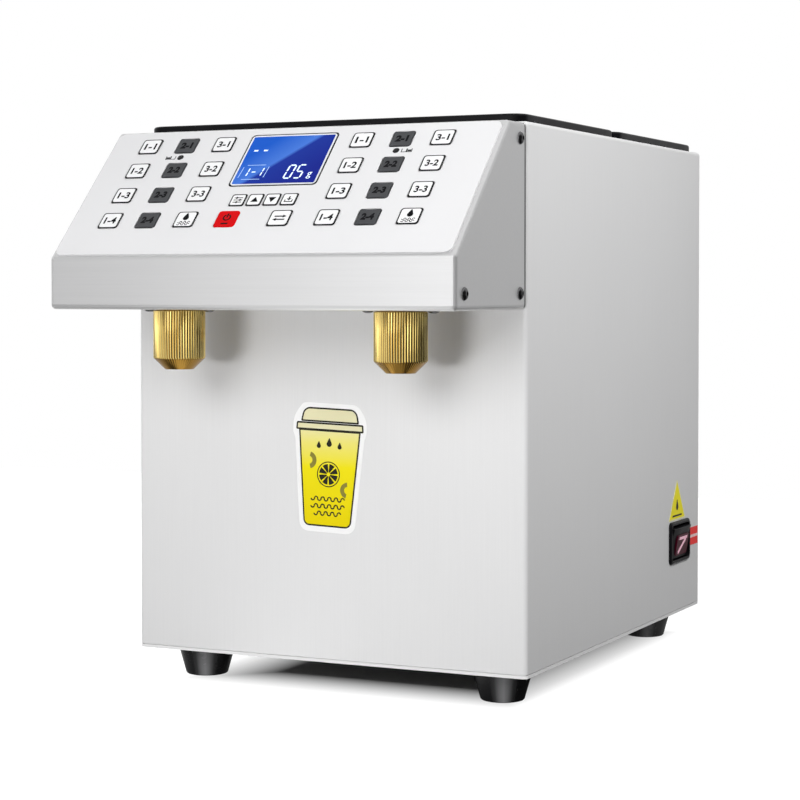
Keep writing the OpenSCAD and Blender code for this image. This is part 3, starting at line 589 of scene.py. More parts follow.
# %% [markdown]
# ## Nozzle caps
# A knurling wheel rolls sixty ribs into the cap, each with a flat crest and a rounded groove. The
# cap is drawn as one ring of small steps, eight to a rib. The ring is extruded from level to
# level: over the edge, down the knurl, in along the taper, and back up through the outlet and
# the threaded bore to where it began. A table says how deep each of the eight steps is cut.

# %% Caps from a knurled ring
RIBS, CUT, KNURL = 60, 0.6, (0.35, 0.0, 0.0, 0.0, 0.35, 0.85, 1.0, 0.85)
STEP = 2 * math.pi / (RIBS * len(KNURL))
CREST, SHELF, END, OUTLET, SEAT, BORE = 1.0, 9.2, 8.6, 4.5, 10.0, 13.1
for which in ("left", "right"):
    low, high = (Vector(c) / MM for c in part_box(f"{which}_nozzle_cap"))
    middle, r, t = (low + high) / 2, cap_r / MM - 0.01, high.z
    cap = bmesh.new()
    ring = bmesh.ops.create_circle(cap, segments=RIBS * len(KNURL), radius=1.0)["verts"]
    edges = cap.edges[:]
    levels = [(r - CREST, t, 0), (r - CUT, t - CUT + 0.2, 0), (r, t - 1.0, 1), (r, t - 30.2, 1),
              (r - CUT, t - 31.2, 0), (SHELF, low.z, 0), (END, low.z, 0), (OUTLET, low.z, 0),
              (OUTLET, t - 34.5, 0), (SEAT, t - 34.5, 0), (SEAT, t - 21.0, 0),
              (BORE, t - 21.0, 0), (BORE, t, 0), (r - CREST, t, 0)]
    for step, (out, z, cut) in enumerate(levels):
        if step:
            made = bmesh.ops.extrude_edge_only(cap, edges=edges)["geom"]
            ring = [g for g in made if isinstance(g, bmesh.types.BMVert)]
            fresh = set(ring)
            edges = [g for g in made if isinstance(g, bmesh.types.BMEdge) and set(g.verts) <= fresh]
        for v in ring:
            angle = math.atan2(v.co.y, v.co.x)
            deep = KNURL[(round(angle / STEP) + 2) % len(KNURL)] * CUT * cut
            v.co = ((out - deep) * math.cos(angle), (out - deep) * math.sin(angle), z)
    bmesh.ops.remove_doubles(cap, verts=cap.verts, dist=1e-4)
    faces = len(cap.faces)
    add_piece(cap, f"{which}_cap_knurled", [brass], moved(top, middle.x, middle.y), f"{which}_cap",
              f"{which}_nozzle_cap", sharp=40)
    print(which, "cap:", faces, "faces, radius", round(r, 2), "mm")

# %% [markdown]
# ## Valve springs
# Below each valve core a steel spring pushes it shut. The real one shortens when the core goes
# down; this one keeps its full length and rides on no body. The wire is a small ring that is spun
# up along the axis.

# %% Springs
WIRE, TURNS, STEPS = 0.5, 3.5, 84
for which in ("left", "right"):
    low, high = (Vector(c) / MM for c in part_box(f"{which}_valve_spring"))
    middle = (low + high) / 2
    coil = bmesh.new()
    start = Matrix.Translation(((high.x - low.x) / 2 - WIRE, 0, low.z + WIRE))
    ring = bmesh.ops.create_circle(coil, segments=10, radius=WIRE,
                                   matrix=start @ Matrix.Rotation(math.pi / 2, 4, "X"))["verts"]
    climb = (high.z - low.z - 2 * WIRE) / STEPS
    bmesh.ops.spin(coil, geom=[*ring, *coil.edges], cent=(0, 0, 0), axis=(0, 0, 1),
                   dvec=(0, 0, climb), angle=2 * math.pi * TURNS, steps=STEPS, use_duplicate=False)
    bmesh.ops.edgeloop_fill(coil, edges=[e for e in coil.edges if e.is_boundary])
    tall = max(v.co.z for v in coil.verts) - min(v.co.z for v in coil.verts)
    made = add_piece(coil, f"{which}_spring_coil", [turned_steel], moved(top, middle.x, middle.y),
                     None, f"{which}_valve_spring")
    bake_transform(made)
    print(which, "spring:", round(tall, 2), "mm tall, solid", round(high.z - low.z, 2))

# %% [markdown]
# ## Tank lids
# Each tank has a black moulded lid with a soft edge, a shallow field on top and a rib below that
# finds the tank's mouth. The lid is one shell: it starts at the inner ceiling, goes down the
# inside of the rim, out, up and over the edge, and ends in the sunk field. A low oval in the
# middle of the field is its grip.

# %% Lids
lid_black = Finish("lid_black", (0.006, 0.006, 0.007), 0.3, Specular_IOR_Level=0.08)
lid_black.tint(40.0, 0.3).gloss(25.0, 0.24, 0.36).bumps(1400.0, 0.08)
RIM_LOW, LID_TOP, RIB_PLAY, GRIP_W, GRIP_H = 364.5, 370.0, 14, 74, 15
for which in ("front", "rear"):
    low, high = (Vector(c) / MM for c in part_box(f"{which}_lid"))
    tank_low, tank_high = (Vector(c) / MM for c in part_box(f"{which}_tank"))
    middle, tank_middle = (low + high) / 2, (tank_low + tank_high) / 2
    w, h = high.x - low.x, high.y - low.y
    place = moved(top, middle.x, middle.y)
    lid = bmesh.new()
    stack(lid, w, h, 9.0, [
        (368.0, 4), (RIM_LOW, 4), (RIM_LOW, 0), (368.4, 0), (369.2, 0.5), (369.8, 1.7),
        (LID_TOP, 3.2), (LID_TOP, 22), (369.6, 22.6), (369.2, 24)], steps=8)
    rib = bmesh.new()
    stack(rib, tank_high.x - tank_low.x - RIB_PLAY, tank_high.y - tank_low.y - RIB_PLAY, 13.0,
          [(368.1, 0), (low.z, 0), (low.z, 4), (368.05, 4)], steps=6)
    bmesh.ops.translate(rib, vec=(0, tank_middle.y - middle.y, 0), verts=rib.verts)
    merge(lid, rib)
    add_piece(lid, f"{which}_lid_cover", [lid_black], place, f"{which}_lid", f"{which}_lid",
              sharp=20)
    grip = bmesh.new()
    stack(grip, GRIP_W, GRIP_H, 7.0, [(369.1, 0), (369.7, 0), (369.95, 1), (LID_TOP, 3)], steps=6)
    add_piece(grip, f"{which}_lid_grip", [lid_black], place, f"{which}_lid")
    print(which, "lid", round(w, 1), "by", round(h, 1), "mm")

# %% [markdown]
# ## Panel foil
# The slope carries a printed foil with a fine satin grain. Its white is a touch cooler than the
# keys. The foil itself is the measured solid; only its finish is made here, with those of the
# keys and of the ink that is printed on them.

# %% Foil, keys and ink
foil_print = Finish("foil_print", (0.755, 0.755, 0.765), 0.4)
dress(foil_print.tint(18.0, 0.012).bumps(2200.0, 0.05, 0.0001), "panel_foil")
key_white = Finish("key_white", (0.88, 0.88, 0.885), 0.36)
key_white.tint(60.0, 0.01).bumps(2200.0, 0.05, 0.0001)
key_grey = Finish("key_grey", (0.056, 0.058, 0.062), 0.38, Specular_IOR_Level=0.15)
key_grey.tint(80.0, 0.06).bumps(2200.0, 0.06, 0.0001)
key_red = Finish("key_red", (0.62, 0.001, 0.003), 0.34, Specular_IOR_Level=0.08)
key_red.tint(80.0, 0.05).bumps(2200.0, 0.06, 0.0001)
ink = Finish("printed_ink", (0.005, 0.005, 0.006), 0.45, Specular_IOR_Level=0.04)
ink.tint(900.0, 0.15).bumps(1800.0, 0.05)
# The dark rim finish below is the printed outline of the keys and the display, and also the painted
# shadow under the keys.
rim_ink_and_shadow = Finish("rim_ink_and_shadow", (0.012, 0.012, 0.013), 0.42, Specular_IOR_Level=0.1)
rim_ink_and_shadow.tint(400.0, 0.2).bumps(1800.0, 0.05)

# %% [markdown]
# ## Printing
# Labels are ink, a few hundredths of a millimetre thick. Simple signs are drawn from bars, discs,
# arcs and patches. A drawing helper gives every flat shape the same thickness, so it reads as
# print and not as a block.

# %% Drawing with ink


def bar(bm, start, end, width):
    """A flat bar between two points."""
    start, end = Vector((*start, 0)), Vector((*end, 0))
    along = end - start
    made = bmesh.ops.create_grid(bm, x_segments=1, y_segments=1, size=0.5)["verts"]
    bmesh.ops.scale(bm, vec=(along.length, width, 1), verts=made)
    bmesh.ops.rotate(bm, matrix=Matrix.Rotation(math.atan2(along.y, along.x), 3, "Z"), verts=made)
    bmesh.ops.translate(bm, vec=(start + end) / 2, verts=made)


def disc(bm, middle, r, segments=24):
    """A flat disc."""
    made = bmesh.ops.create_circle(bm, cap_ends=True, radius=r, segments=segments)["verts"]
    bmesh.ops.translate(bm, vec=(*middle, 0), verts=made)
    return made


def arc(bm, middle, inner, outer, start, sweep, steps=24):
    """A flat ring or a part of one, spun from a short edge."""
    turned = Matrix.Rotation(start, 3, "Z")
    ends = [bm.verts.new(Vector((*middle, 0)) + turned @ Vector((r, 0, 0))) for r in (inner, outer)]
    whole = abs(sweep - 2 * math.pi) < 1e-6
    bmesh.ops.spin(bm, geom=[*ends, bm.edges.new(ends)], cent=(*middle, 0), axis=(0, 0, 1),
                   angle=sweep, steps=steps, use_duplicate=False, use_merge=whole)


def wave(bm, x, y, swing, inner, outer, steps):
    """One dip and one crest of a wavy line."""
    arc(bm, (x - swing, y), inner, outer, math.pi, math.pi, steps)
    arc(bm, (x + swing, y), inner, outer, 0, math.pi, steps)


def patch(bm, points):
    """A flat patch with the given corners."""
    return bm.faces.new([bm.verts.new((x, y, 0)) for x, y in points])


def thicken(bm, thickness):
    """Gives every flat shape a thickness, upwards."""
    bmesh.ops.recalc_face_normals(bm, faces=bm.faces)
    for f in bm.faces:
        if f.normal.z < 0:
            f.normal_flip()
    made = bmesh.ops.extrude_face_region(bm, geom=bm.faces[:])["geom"]
    verts = [g for g in made if isinstance(g, bmesh.types.BMVert)]
    bmesh.ops.translate(bm, vec=(0, 0, thickness), verts=verts)


print("ink helpers ready")

# %% [markdown]
# Numerals come from Blender's own font. They are turned into a mesh and then stretched to an
# exact width and height, so every label has the same size on its key.

# %% Numerals


def numerals(text, w, h, bold):
    """Numerals of an exact width and height, as flat faces in a new drawing."""
    curve = bpy.data.curves.new("numerals", "FONT")
    curve.body, curve.resolution_u, curve.offset = text, 3, bold
    shown = bpy.data.objects.new("numerals", curve)
    link(shown)
    graph = bpy.context.evaluated_depsgraph_get()
    mesh = bpy.data.meshes.new_from_object(shown.evaluated_get(graph))
    bpy.data.objects.remove(shown)
    bpy.data.curves.remove(curve)
    bm = bmesh.new()
    bm.from_mesh(mesh)
    bpy.data.meshes.remove(mesh)
    bmesh.ops.remove_doubles(bm, verts=bm.verts, dist=1e-5)
    xs, ys = [v.co.x for v in bm.verts], [v.co.y for v in bm.verts]
    middle = Vector(((min(xs) + max(xs)) / 2, (min(ys) + max(ys)) / 2, 0))
    bmesh.ops.translate(bm, vec=-middle, verts=bm.verts)
    bmesh.ops.scale(bm, vec=(w / (max(xs) - min(xs)), h / (max(ys) - min(ys)), 1), verts=bm.verts)
    return bm


print("numerals ready")

# %% [markdown]
# ## Signs
# The keys without a number carry plain signs: a drop over waves for a steady flow, a broken ring
# for power, two arrows for changing over, sliders for setting, triangles for up and down, and an
# arrow into a tray for storing.

# %% Signs of the keys


def draw_flow(bm):
    for v in disc(bm, (0, 1.2), 2.0):
        if v.co.y > 1.4:
            v.co.x *= 1 - 0.62 * (v.co.y - 1.4) / 1.8
            v.co.y += 1.3 * (v.co.y - 1.4)
    for y in (-2.6, -4.3):
        for x in (-2.8, 0.0, 2.8):
            wave(bm, x, y, 0.7, 0.45, 0.95, 6)


def draw_power(bm):
    arc(bm, (0, 1.0), 1.8, 2.8, math.radians(118), math.radians(304), 24)
    bar(bm, (0, 1.0), (0, 4.4), 1.1)
    bar(bm, (-2.4, -4.3), (2.4, -4.3), 1.1)


def draw_change(bm):
    for s in (-1, 1):
        bar(bm, (-3.8 * s, 1.35 * s), (1.9 * s, 1.35 * s), 1.0)
        patch(bm, [(1.9 * s, 0.1 * s), (4.4 * s, 1.35 * s), (1.9 * s, 2.6 * s)])


def draw_set(bm):
    for y, x in ((1.9, -1.2), (0.0, 1.4), (-1.9, -0.4)):
        bar(bm, (-3.0, y), (x - 0.7, y), 0.6)
        bar(bm, (x + 0.7, y), (3.0, y), 0.6)
        disc(bm, (x, y), 0.85, 12)


def draw_up(bm, s=1):
    patch(bm, [(-2.6, -1.9 * s), (2.6, -1.9 * s), (0, 2.4 * s)])


def draw_down(bm):
    draw_up(bm, -1)


def draw_store(bm):
    bar(bm, (0, 2.4), (0, 0.4), 0.9)
    patch(bm, [(-1.7, 0.5), (1.7, 0.5), (0, -1.2)])
    bar(bm, (-2.8, -2.2), (2.8, -2.2), 0.65)
    for s in (-1, 1):
        bar(bm, (2.5 * s, -2.0), (2.5 * s, -0.5), 0.65)


SIGNS = {"flow": draw_flow, "power": draw_power, "change": draw_change, "set": draw_set,
         "up": draw_up, "down": draw_down, "store": draw_store}
print("signs:", ", ".join(SIGNS))

# %% [markdown]
# ## Keys
# A key is a raised field of the foil, with a soft edge and a thin printed outline. The middle
# column is dark grey and its sides are drawn in a little. Each key takes its place and size from
# its own solid, and moves with it. A painted shadow, a dark sheet below it shifted to the left and
# down, makes its outline heavier on two sides, as if light fell on it from the upper right.

# %% Key caps and their print
PRINT, SHIFT, LABEL_W, LABEL_H = 0.05, 0.65, 8.5, 5.6
key_names = [n for n in nodes if n.endswith("_key") or "_key_" in n]
shadows = bmesh.new()
for name in key_names:
    middle, size, low, high = measured(name, panel)
    w, h = size.x, size.y
    grey, red = "_key_2_" in name, name == "power_key"
    face_finish, slot = ((key_grey, "key_grey") if grey else (key_red, "key_red") if red
                         else (key_white, "key_white"))
    edge, hollow = 0 if grey or red else 1, 0.7 if grey else 0.0
    cap = bmesh.new()
    stack(cap, w, h, 1.5 if grey else 1.8, [
        (low, 0), (high - 0.4, 0), (high - 0.12, 0.3, edge), (high, 0.7, edge), (high, 2.0, edge),
        (high - 0.03, 2.2)], hollow)
    add_piece(cap, f"{name}_cap", [face_finish, rim_ink_and_shadow], moved(panel, middle.x, middle.y), name,
              name, sharp=12)
    *_, column, row = name.split("_")
    if row.isdigit():
        label = numerals(f"{column}-{row}", LABEL_W, LABEL_H, 0.055 if grey else 0.028)
    else:
        label = bmesh.new()
        SIGNS["flow" if row == "flow" else column](label)
    thicken(label, PRINT)
    add_piece(label, f"{name}_label", [ink], moved(panel, middle.x, middle.y, high - 0.04), name)
    if not red:
        # Painted shadow: a dark sheet under each key but the red one, shifted to the left and down.
        under = bmesh.new()
        stack(under, w, h, 1.8, [(low - 0.1, 0), (low + PRINT, 0)], hollow)
        bmesh.ops.translate(under, vec=(middle.x - SHIFT, middle.y - SHIFT, 0), verts=under.verts)
        merge(shadows, under)
add_piece(shadows, "key_shadows", [rim_ink_and_shadow], panel, "box")
print("keys:", len(key_names))

# %% [markdown]
# ## Display
# The display is a backlit pane behind glass: a dark printed line, a white edge and a blue field
# with pale digits made of bars.

# %% Display pane
pane_white = Finish("pane_white", (0.80, 0.82, 0.86), 0.2, Coat_Weight=0.6, Coat_Roughness=0.05)
pane_white.tint(60.0, 0.01).bumps(300.0, 0.01)
pane_blue = Finish("pane_blue", (0.02, 0.06, 0.5), 0.12, Specular_IOR_Level=0.06)
glass_mid, size, low, glass_top = measured("display_glass", panel)
w, h = size.x, size.y
EDGE = 4.4
place = moved(panel, glass_mid.x, glass_mid.y)
pane = bmesh.new()
stack(pane, w, h, 2.8, [
    (low, 0), (glass_top - 0.3, 0), (glass_top - 0.1, 0.5), (glass_top - 0.1, 1.9),
    (glass_top - 0.12, 2.0, 1)], last=1, steps=5)
add_piece(pane, "display_pane", [rim_ink_and_shadow, pane_white], place, "box", "display_glass")
field = bmesh.new()
stack(field, w - EDGE, h - EDGE, 0.8, [(glass_top - 0.3, 0), (glass_top, 0)])
add_piece(field, "display_field", [pane_blue], place, "box")
print("display", round(w, 1), "by", round(h, 1), "mm at",
      tuple(round(c, 1) for c in glass_mid[:2]))

# %% [markdown]
# A painted reflection, like a window's, crosses the field from corner to corner as a brighter
# wedge, so the blue changes along a slanting line. The pane lies on the slope, so one mapping turns
# the coordinates until x stays across and y runs up the slope, and the line is straight there.

# %% Blue field
LEAN = 0.98
slope_turn = math.atan2(up_slope.z, up_slope.y)
tree = pane_blue.tree
at = pane_blue.axes(turned=(-slope_turn, 0, 0))
wedge_mid = Matrix.Rotation(-slope_turn, 3, "X") @ (panel @ (glass_mid * MM))
leaned = calc(tree, "MULTIPLY_ADD", at.outputs["Y"], -LEAN, LEAN * wedge_mid.y)
across = calc(tree, "ADD", at.outputs["X"], leaned)
# Painted reflection: a brighter wedge along a slanting line, in the colour and in the glow alike.
blues_and_painted_reflection = ramp(tree, wire(tree, "MapRange", across, -0.0327, 0.0303), [
    (0.0, (0.006, 0.075, 0.43)), (0.42, (0.045, 0.14, 0.50)), (0.46, (0.020, 0.060, 0.34)),
    (0.48, (0.006, 0.024, 0.235)), (1.0, (0.004, 0.012, 0.19))])
pane_blue.set(Base_Color=blues_and_painted_reflection, Emission_Color=blues_and_painted_reflection, Emission_Strength=0.35)
pane_blue.gloss(80.0, 0.1, 0.16)
print("wedge middle on the slope:", tuple(round(c, 3) for c in wedge_mid))

# %% [markdown]
# Each digit is seven bars with pointed ends. A table says which bars are lit. The small pair at
# the left shows the chosen key and has four thin lines round it, and the large pair is the dose
# in grams. The two dashes above are the tanks' levels.

# %% Digits
digit_glow = Finish("digit_glow", (0.75, 0.9, 1.0), 0.3, Emission_Color=(0.7, 0.88, 1.0, 1),
                    Emission_Strength=0.35).tint(300.0, 0.03)
line_glow = Finish("line_glow", (0.30, 0.48, 0.80), 0.3, Emission_Color=(0.3, 0.5, 0.9, 1),
                   Emission_Strength=0.2).tint(300.0, 0.05)
SEGMENTS = {"0": "abcdef", "1": "bc", "5": "acdfg", "-": "g"}


def digit(bm, char, x, y, w, h, t, lean=0.1):
    """Draws one digit of bars, leaning a little to the right."""
    half = h / 2
    ends = {"a": ((0, h), (w, h)), "b": ((w, h), (w, half)), "c": ((w, half), (w, 0)),
            "d": ((w, 0), (0, 0)), "e": ((0, 0), (0, half)), "f": ((0, half), (0, h)),
            "g": ((0, half), (w, half))}
    for name in SEGMENTS[char]:
        start, end = (Vector(p) for p in ends[name])
        along = (end - start).normalized()
        across = Vector((-along.y, along.x)) * t / 2
        start, end = start + along * t * 0.22, end - along * t * 0.22
        points = [start, start + along * t / 2 + across, end - along * t / 2 + across, end,
                  end - along * t / 2 - across, start + along * t / 2 - across]
        patch(bm, [(x + p.x + lean * (p.y - half), y - half + p.y) for p in points])


figures, field_lines = bmesh.new(), bmesh.new()
for text, y, w, h, t in (((("0", 2.9), ("5", 9.9)), 72.3, 4.4, 11.6, 1.1),
                         ((("1", -28.0), ("-", -22.4), ("1", -18.0)), 72.8, 3.4, 7.4, 0.9)):
    for char, x in text:
        digit(figures, char, x, y, w, h, t)
for x in (-26.5, -19.5):
    patch(figures, [(x - 1.4, 91.8), (x + 1.4, 91.8), (x + 1.5, 93.1), (x - 1.3, 93.1)])
for y in (66.2, 79.0):
    bar(field_lines, (-27.1, y), (-14.1, y), 0.5)
for x in (-29.6, -11.7):
    bar(field_lines, (x - 0.4, 67.8), (x + 0.4, 77.4), 0.5)
thicken(field_lines, PRINT)
add_piece(field_lines, "display_lines", [line_glow], moved(panel, 0, 0, glass_top - 0.02), "box")
unit = numerals("g", 3.1, 5.8, 0.0)
bmesh.ops.translate(unit, vec=(19.6, 68.6, 0), verts=unit.verts)
merge(figures, unit)
thicken(figures, PRINT)
add_piece(figures, "display_digits", [digit_glow], moved(panel, 0, 0, glass_top - 0.02), "box")
print("digits drawn")

# %% [markdown]
# ## Tank lamps
# Between the upper rows a small dark lamp marks each tank, with a sign of two tanks beside it:
# the left half of the panel serves the front tank and the right half the rear one.

# %% Lamps on the panel
lamp_dark = Finish("lamp_dark", (0.006, 0.006, 0.007), 0.16, Specular_IOR_Level=0.25)
lamp_dark.tint(900.0, 0.3).bumps(500.0, 0.02)
foil_top = measured("panel_foil", panel)[3]
DOME = ((2.2, -0.3), (2.2, 0.1), (2.0, 0.25), (1.5, 0.40), (0.8, 0.48), (0.0, 0.5))
for which, (u, v), s in (("left", (-80.3, 88.5), -1), ("right", (72.0, 88.9), 1)):
    dome = bmesh.new()
    dots = [dome.verts.new((r, 0, foil_top + z)) for r, z in DOME]
    profile = dots + [dome.edges.new(pair) for pair in zip(dots, dots[1:])]
    bmesh.ops.spin(dome, geom=profile, cent=(0, 0, 0), axis=(0, 0, 1), angle=2 * math.pi, steps=24,
                   use_duplicate=False, use_merge=True)
    bmesh.ops.remove_doubles(dome, verts=dome.verts, dist=1e-4)
    add_piece(dome, f"{which}_tank_lamp", [lamp_dark], moved(panel, u, v), "box")
    tanks = bmesh.new()
    for k, filled in ((0, s < 0), (1, s > 0)):
        x0, x1 = -3.4 + 3.6 * k, -0.2 + 3.6 * k
        bar(tanks, (x0, 1.4), (x0, -1.4), 0.5)
        bar(tanks, (x1, -1.4), (x1, 1.4), 0.5)
        bar(tanks, (x0 - 0.25, -1.4), (x1 + 0.25, -1.4), 0.5)
        if filled:
            patch(tanks, [(x0 + 0.4, -0.95), (x1 - 0.4, -0.95), (x1 - 0.4, 0.5), (x0 + 0.4, 0.5)])
    thicken(tanks, PRINT)
    place = moved(panel, u + s * 7.2, v, foil_top - 0.01)
    add_piece(tanks, f"{which}_tank_sign", [ink], place, "box")
print("panel lamps: 2")

# %% [markdown]
# ## The cup sticker
# A vinyl sticker in the shape of a drinking cup sits on the front. It has a white border, a
# cream lid with a dark outline and a yellow cup that grows stronger downwards. The layers are cut
# sheets of vinyl, a few hundredths of a millimetre thick, and lie on one another. An outline is
# the dark sheet below, which is a little larger than the coloured one.

# %% Cutting vinyl


def shrunk(points, by):
    """An outline moved inwards, by insetting it and reading its corners back."""
    bm = bmesh.new()
    face = patch(bm, points)
    face.normal_update()
    bmesh.ops.inset_individual(bm, faces=[face], thickness=by, use_even_offset=True)
    corners = [(v.co.x, v.co.y) for v in face.verts]
    bm.free()
    return corners


def sheet_of(points, rounds, low, high, finish, name, plane):
    """A cut sheet: its corners, how far each is rounded, and its lower and upper level."""
    bm = bmesh.new()
    patch(bm, points)
    for corner, r in zip(list(bm.verts), rounds):
        bmesh.ops.bevel(bm, geom=[corner], offset=r, offset_type="OFFSET", affect="VERTICES",
                        segments=5, profile=0.5, material=-1)
    bmesh.ops.translate(bm, vec=(0, 0, low), verts=bm.verts)
    thicken(bm, high - low)
    add_piece(bm, name, [finish], plane, "box")


def mirrored_outline(points):
    """Half an outline, given from the top to the bottom, with its mirror image."""
    return points + [(-x, y) for x, y in reversed(points)]


def vinyl(name, colour, scale, spread, rough=0.4, gleam=0.2):
    """A finish of coloured vinyl."""
    return Finish(name, colour, rough, Specular_IOR_Level=gleam).tint(scale, spread)


print("vinyl helpers ready")

# %% [markdown]
# The sticker sits a little askew, as hand-applied ones do. Its yellow fades to cream near the
# top, which one ramp along the machine's height gives.

# %% Sticker sheets
sticker_white = vinyl("sticker_white", (0.97, 0.97, 0.97), 50.0, 0.01, gleam=0.3)
sticker_cream = vinyl("sticker_cream", (0.82, 0.78, 0.50), 50.0, 0.03)
sticker_ink = vinyl("sticker_ink", (0.016, 0.016, 0.010), 400.0, 0.2, gleam=0.15)
sticker_yellow = Finish("sticker_yellow", (0.90, 0.78, 0.02), 0.4, Specular_IOR_Level=0.2)
tree = sticker_yellow.tree
fade = wire(tree, "MapRange", sticker_yellow.axes().outputs["Z"], 0.110, 0.172)
sticker_yellow.set(Base_Color=ramp(tree, fade, [
    (0.0, (0.84, 0.68, 0.002)), (0.60, (0.92, 0.80, 0.01)), (0.85, (0.90, 0.82, 0.20)),
    (1.0, (0.88, 0.82, 0.42))]))

sticker = moved(front, 3.0, 146.5) @ Matrix.Rotation(math.radians(-1.9), 4, "Z")
LINE, LAYER = 1.1, 0.04
cup = mirrored_outline([(22.3, 24.5), (17.0, -37.9)])
rim = mirrored_outline([(24.0, 29.1), (24.4, 23.9)])
dome = mirrored_outline([(19.0, 38.7), (21.0, 29.3)])
outline = mirrored_outline([(19.0, 41.6), (23.4, 37.2), (26.3, 31.0), (26.6, 22.4), (24.9, 19.4),
                            (19.7, -41.5)])
sheet_of(outline, [3, 5, 3, 3, 3, 6, 6, 3, 3, 3, 5, 3], 0.02, 0.15, sticker_white,
         "sticker_border", sticker)
for name, shape, rounds, finish, level in (
        ("sticker_cup", cup, [1, 4, 4, 1], sticker_yellow, 0.15),
        ("sticker_dome", dome, [4.5, 1, 1, 4.5], sticker_cream, 0.17),
        ("sticker_rim", rim, [1, 1, 1, 1], sticker_cream, 0.19)):
    sheet_of(shape, rounds, level, level + LAYER, sticker_ink, name + "_line", sticker)
    sheet_of(shrunk(shape, LINE), [max(r - LINE, 0.3) for r in rounds], level + LAYER,
             level + 2 * LAYER, finish, name, sticker)
print("sticker: border, cup, dome and rim")

# %% [markdown]
# The decoration is printed in the sticker's dark ink: a slice of citrus, three drops of syrup and
# three rows of waves. Two soft olive arcs lie behind them.

# %% Sticker decoration


def draw_drop(bm, x, y, r):
    """A drop: a disc whose top is drawn out to a point."""
    for v in disc(bm, (x, y), r):
        rise = (v.co.y - y) / r
        if rise > 0.1:
            v.co.x = x + (v.co.x - x) * (1 - 0.62 * (rise - 0.1) / 0.9)
            v.co.y += 1.1 * r * (rise - 0.1)


sticker_shade = Finish("sticker_shade", (0.22, 0.19, 0.02), 0.4).tint(400.0, 0.1)
over_sticker = moved(sticker, 0, 0, 0.22)
shades = bmesh.new()
arc(shades, (-14.5, 4.5), 2.6, 5.6, math.radians(-75), math.radians(150), 14)
arc(shades, (14.0, -13.5), 2.4, 5.2, math.radians(95), math.radians(160), 14)
thicken(shades, PRINT)
add_piece(shades, "sticker_shades", [sticker_shade], over_sticker, "box")

SLICE, WEDGES = (0, -4.0), 8
prints = bmesh.new()
arc(prints, SLICE, 7.6, 8.3, 0, 2 * math.pi, 40)
for k in range(WEDGES):
    arc(prints, SLICE, 1.3, 6.7, math.radians(360 / WEDGES * k + 5), math.radians(35), 6)
for x, y, r in ((-7.5, 14.0, 1.5), (0.0, 15.6, 1.9), (7.5, 14.0, 1.5)):
    draw_drop(prints, x, y, r)
for y, count in ((-20.0, 5), (-24.7, 5), (-29.4, 4)):
    for k in range(count):
        wave(prints, (k - (count - 1) / 2) * 4.8, y, 1.2, 0.75, 1.65, 8)
thicken(prints, PRINT)
add_piece(prints, "sticker_print", [sticker_ink], over_sticker, "box")
print("sticker decoration drawn")

# %% [markdown]
# ## Marks on the side
# Beside the switch a yellow triangle with a drop and a red tab with a pale band are stuck to the
# sheet. Both are thin vinyl again, drawn on the side's own plane, where x runs to the back.

# %% Triangle and tab
vinyl_yellow = vinyl("vinyl_yellow", (0.98, 0.86, 0.003), 90.0, 0.04)
vinyl_pale = vinyl("vinyl_pale", (0.92, 0.88, 0.45), 90.0, 0.03)
vinyl_red = vinyl("vinyl_red", (1.0, 0.03, 0.03), 90.0, 0.06)
vinyl_pink = vinyl("vinyl_pink", (1.0, 0.70, 0.70), 90.0, 0.03, rough=0.36, gleam=0.5)
triangle = [(276.6, 90.4), (315.0, 90.4), (295.8, 120.4)]
sheet_of(triangle, [1.6, 1.6, 1.6], 0.02, 0.12, vinyl_pale, "triangle_border", side)
sheet_of(shrunk(triangle, LINE), [1, 1, 1], 0.12, 0.17, vinyl_yellow, "triangle_field", side)
marks = bmesh.new()
bar(marks, (285.0, 93.6), (306.6, 93.6), 1.3)
draw_drop(marks, 295.8, 100.2, 2.7)
thicken(marks, PRINT)
add_piece(marks, "triangle_marks", [sticker_ink], moved(side, 0, 0, 0.16), "box")
TAB_FROM, TAB_TO = 321.0, 346.0
for name, finish, bands, height, thickness in (
        ("tab_bands", vinyl_red, (78.4, 70.7), 5.6, 0.12),
        ("tab_middle", vinyl_pink, (74.55,), 2.1, 0.11)):
    tab = bmesh.new()
    for z in bands:
        bar(tab, (TAB_FROM, z), (TAB_TO, z), height)
    thicken(tab, thickness)
    add_piece(tab, name, [finish], moved(side, 0, 0, 0.02), "box")
print("side marks: triangle and tab")

# %% [markdown]
# ## The switch
# The mains switch is a snap-in rocker of black nylon. Its frame has a wide soft bevel, and a deep
# well holds the rocker.

# %% Switch frame
switch_black = Finish("switch_black", (0.006, 0.006, 0.007), 0.28, Specular_IOR_Level=0.12)
switch_black.tint(200.0, 0.25).gloss(60.0, 0.24, 0.38).bumps(1500.0, 0.06)
middle, size, low, high = measured("switch_frame", side)
WELL = (6.0, 5.4)
bezel = bmesh.new()
stack(bezel, size.x, size.y, 3.2, [
    (low, (4.0, 3.4)), (0.0, (4.0, 3.4)), (0.0, 0), (0.7, 0), (1.4, 0.7), (high, 2.4),
    (high, (5.2, 4.6)), (high - 0.3, (5.8, 5.2)), (low + 8, WELL)], steps=6)
add_piece(bezel, "switch_bezel", [switch_black], moved(side, middle.x, middle.y), "box",
          "switch_frame")
print("switch frame", round(size.x, 1), "by", round(size.y, 1), "mm")

# %% [markdown]
# The rocker is hollowed between its two ends, so a finger finds them, and its underside is a
# shallow wedge that clears the well when it tips. A pin across it is its axle.

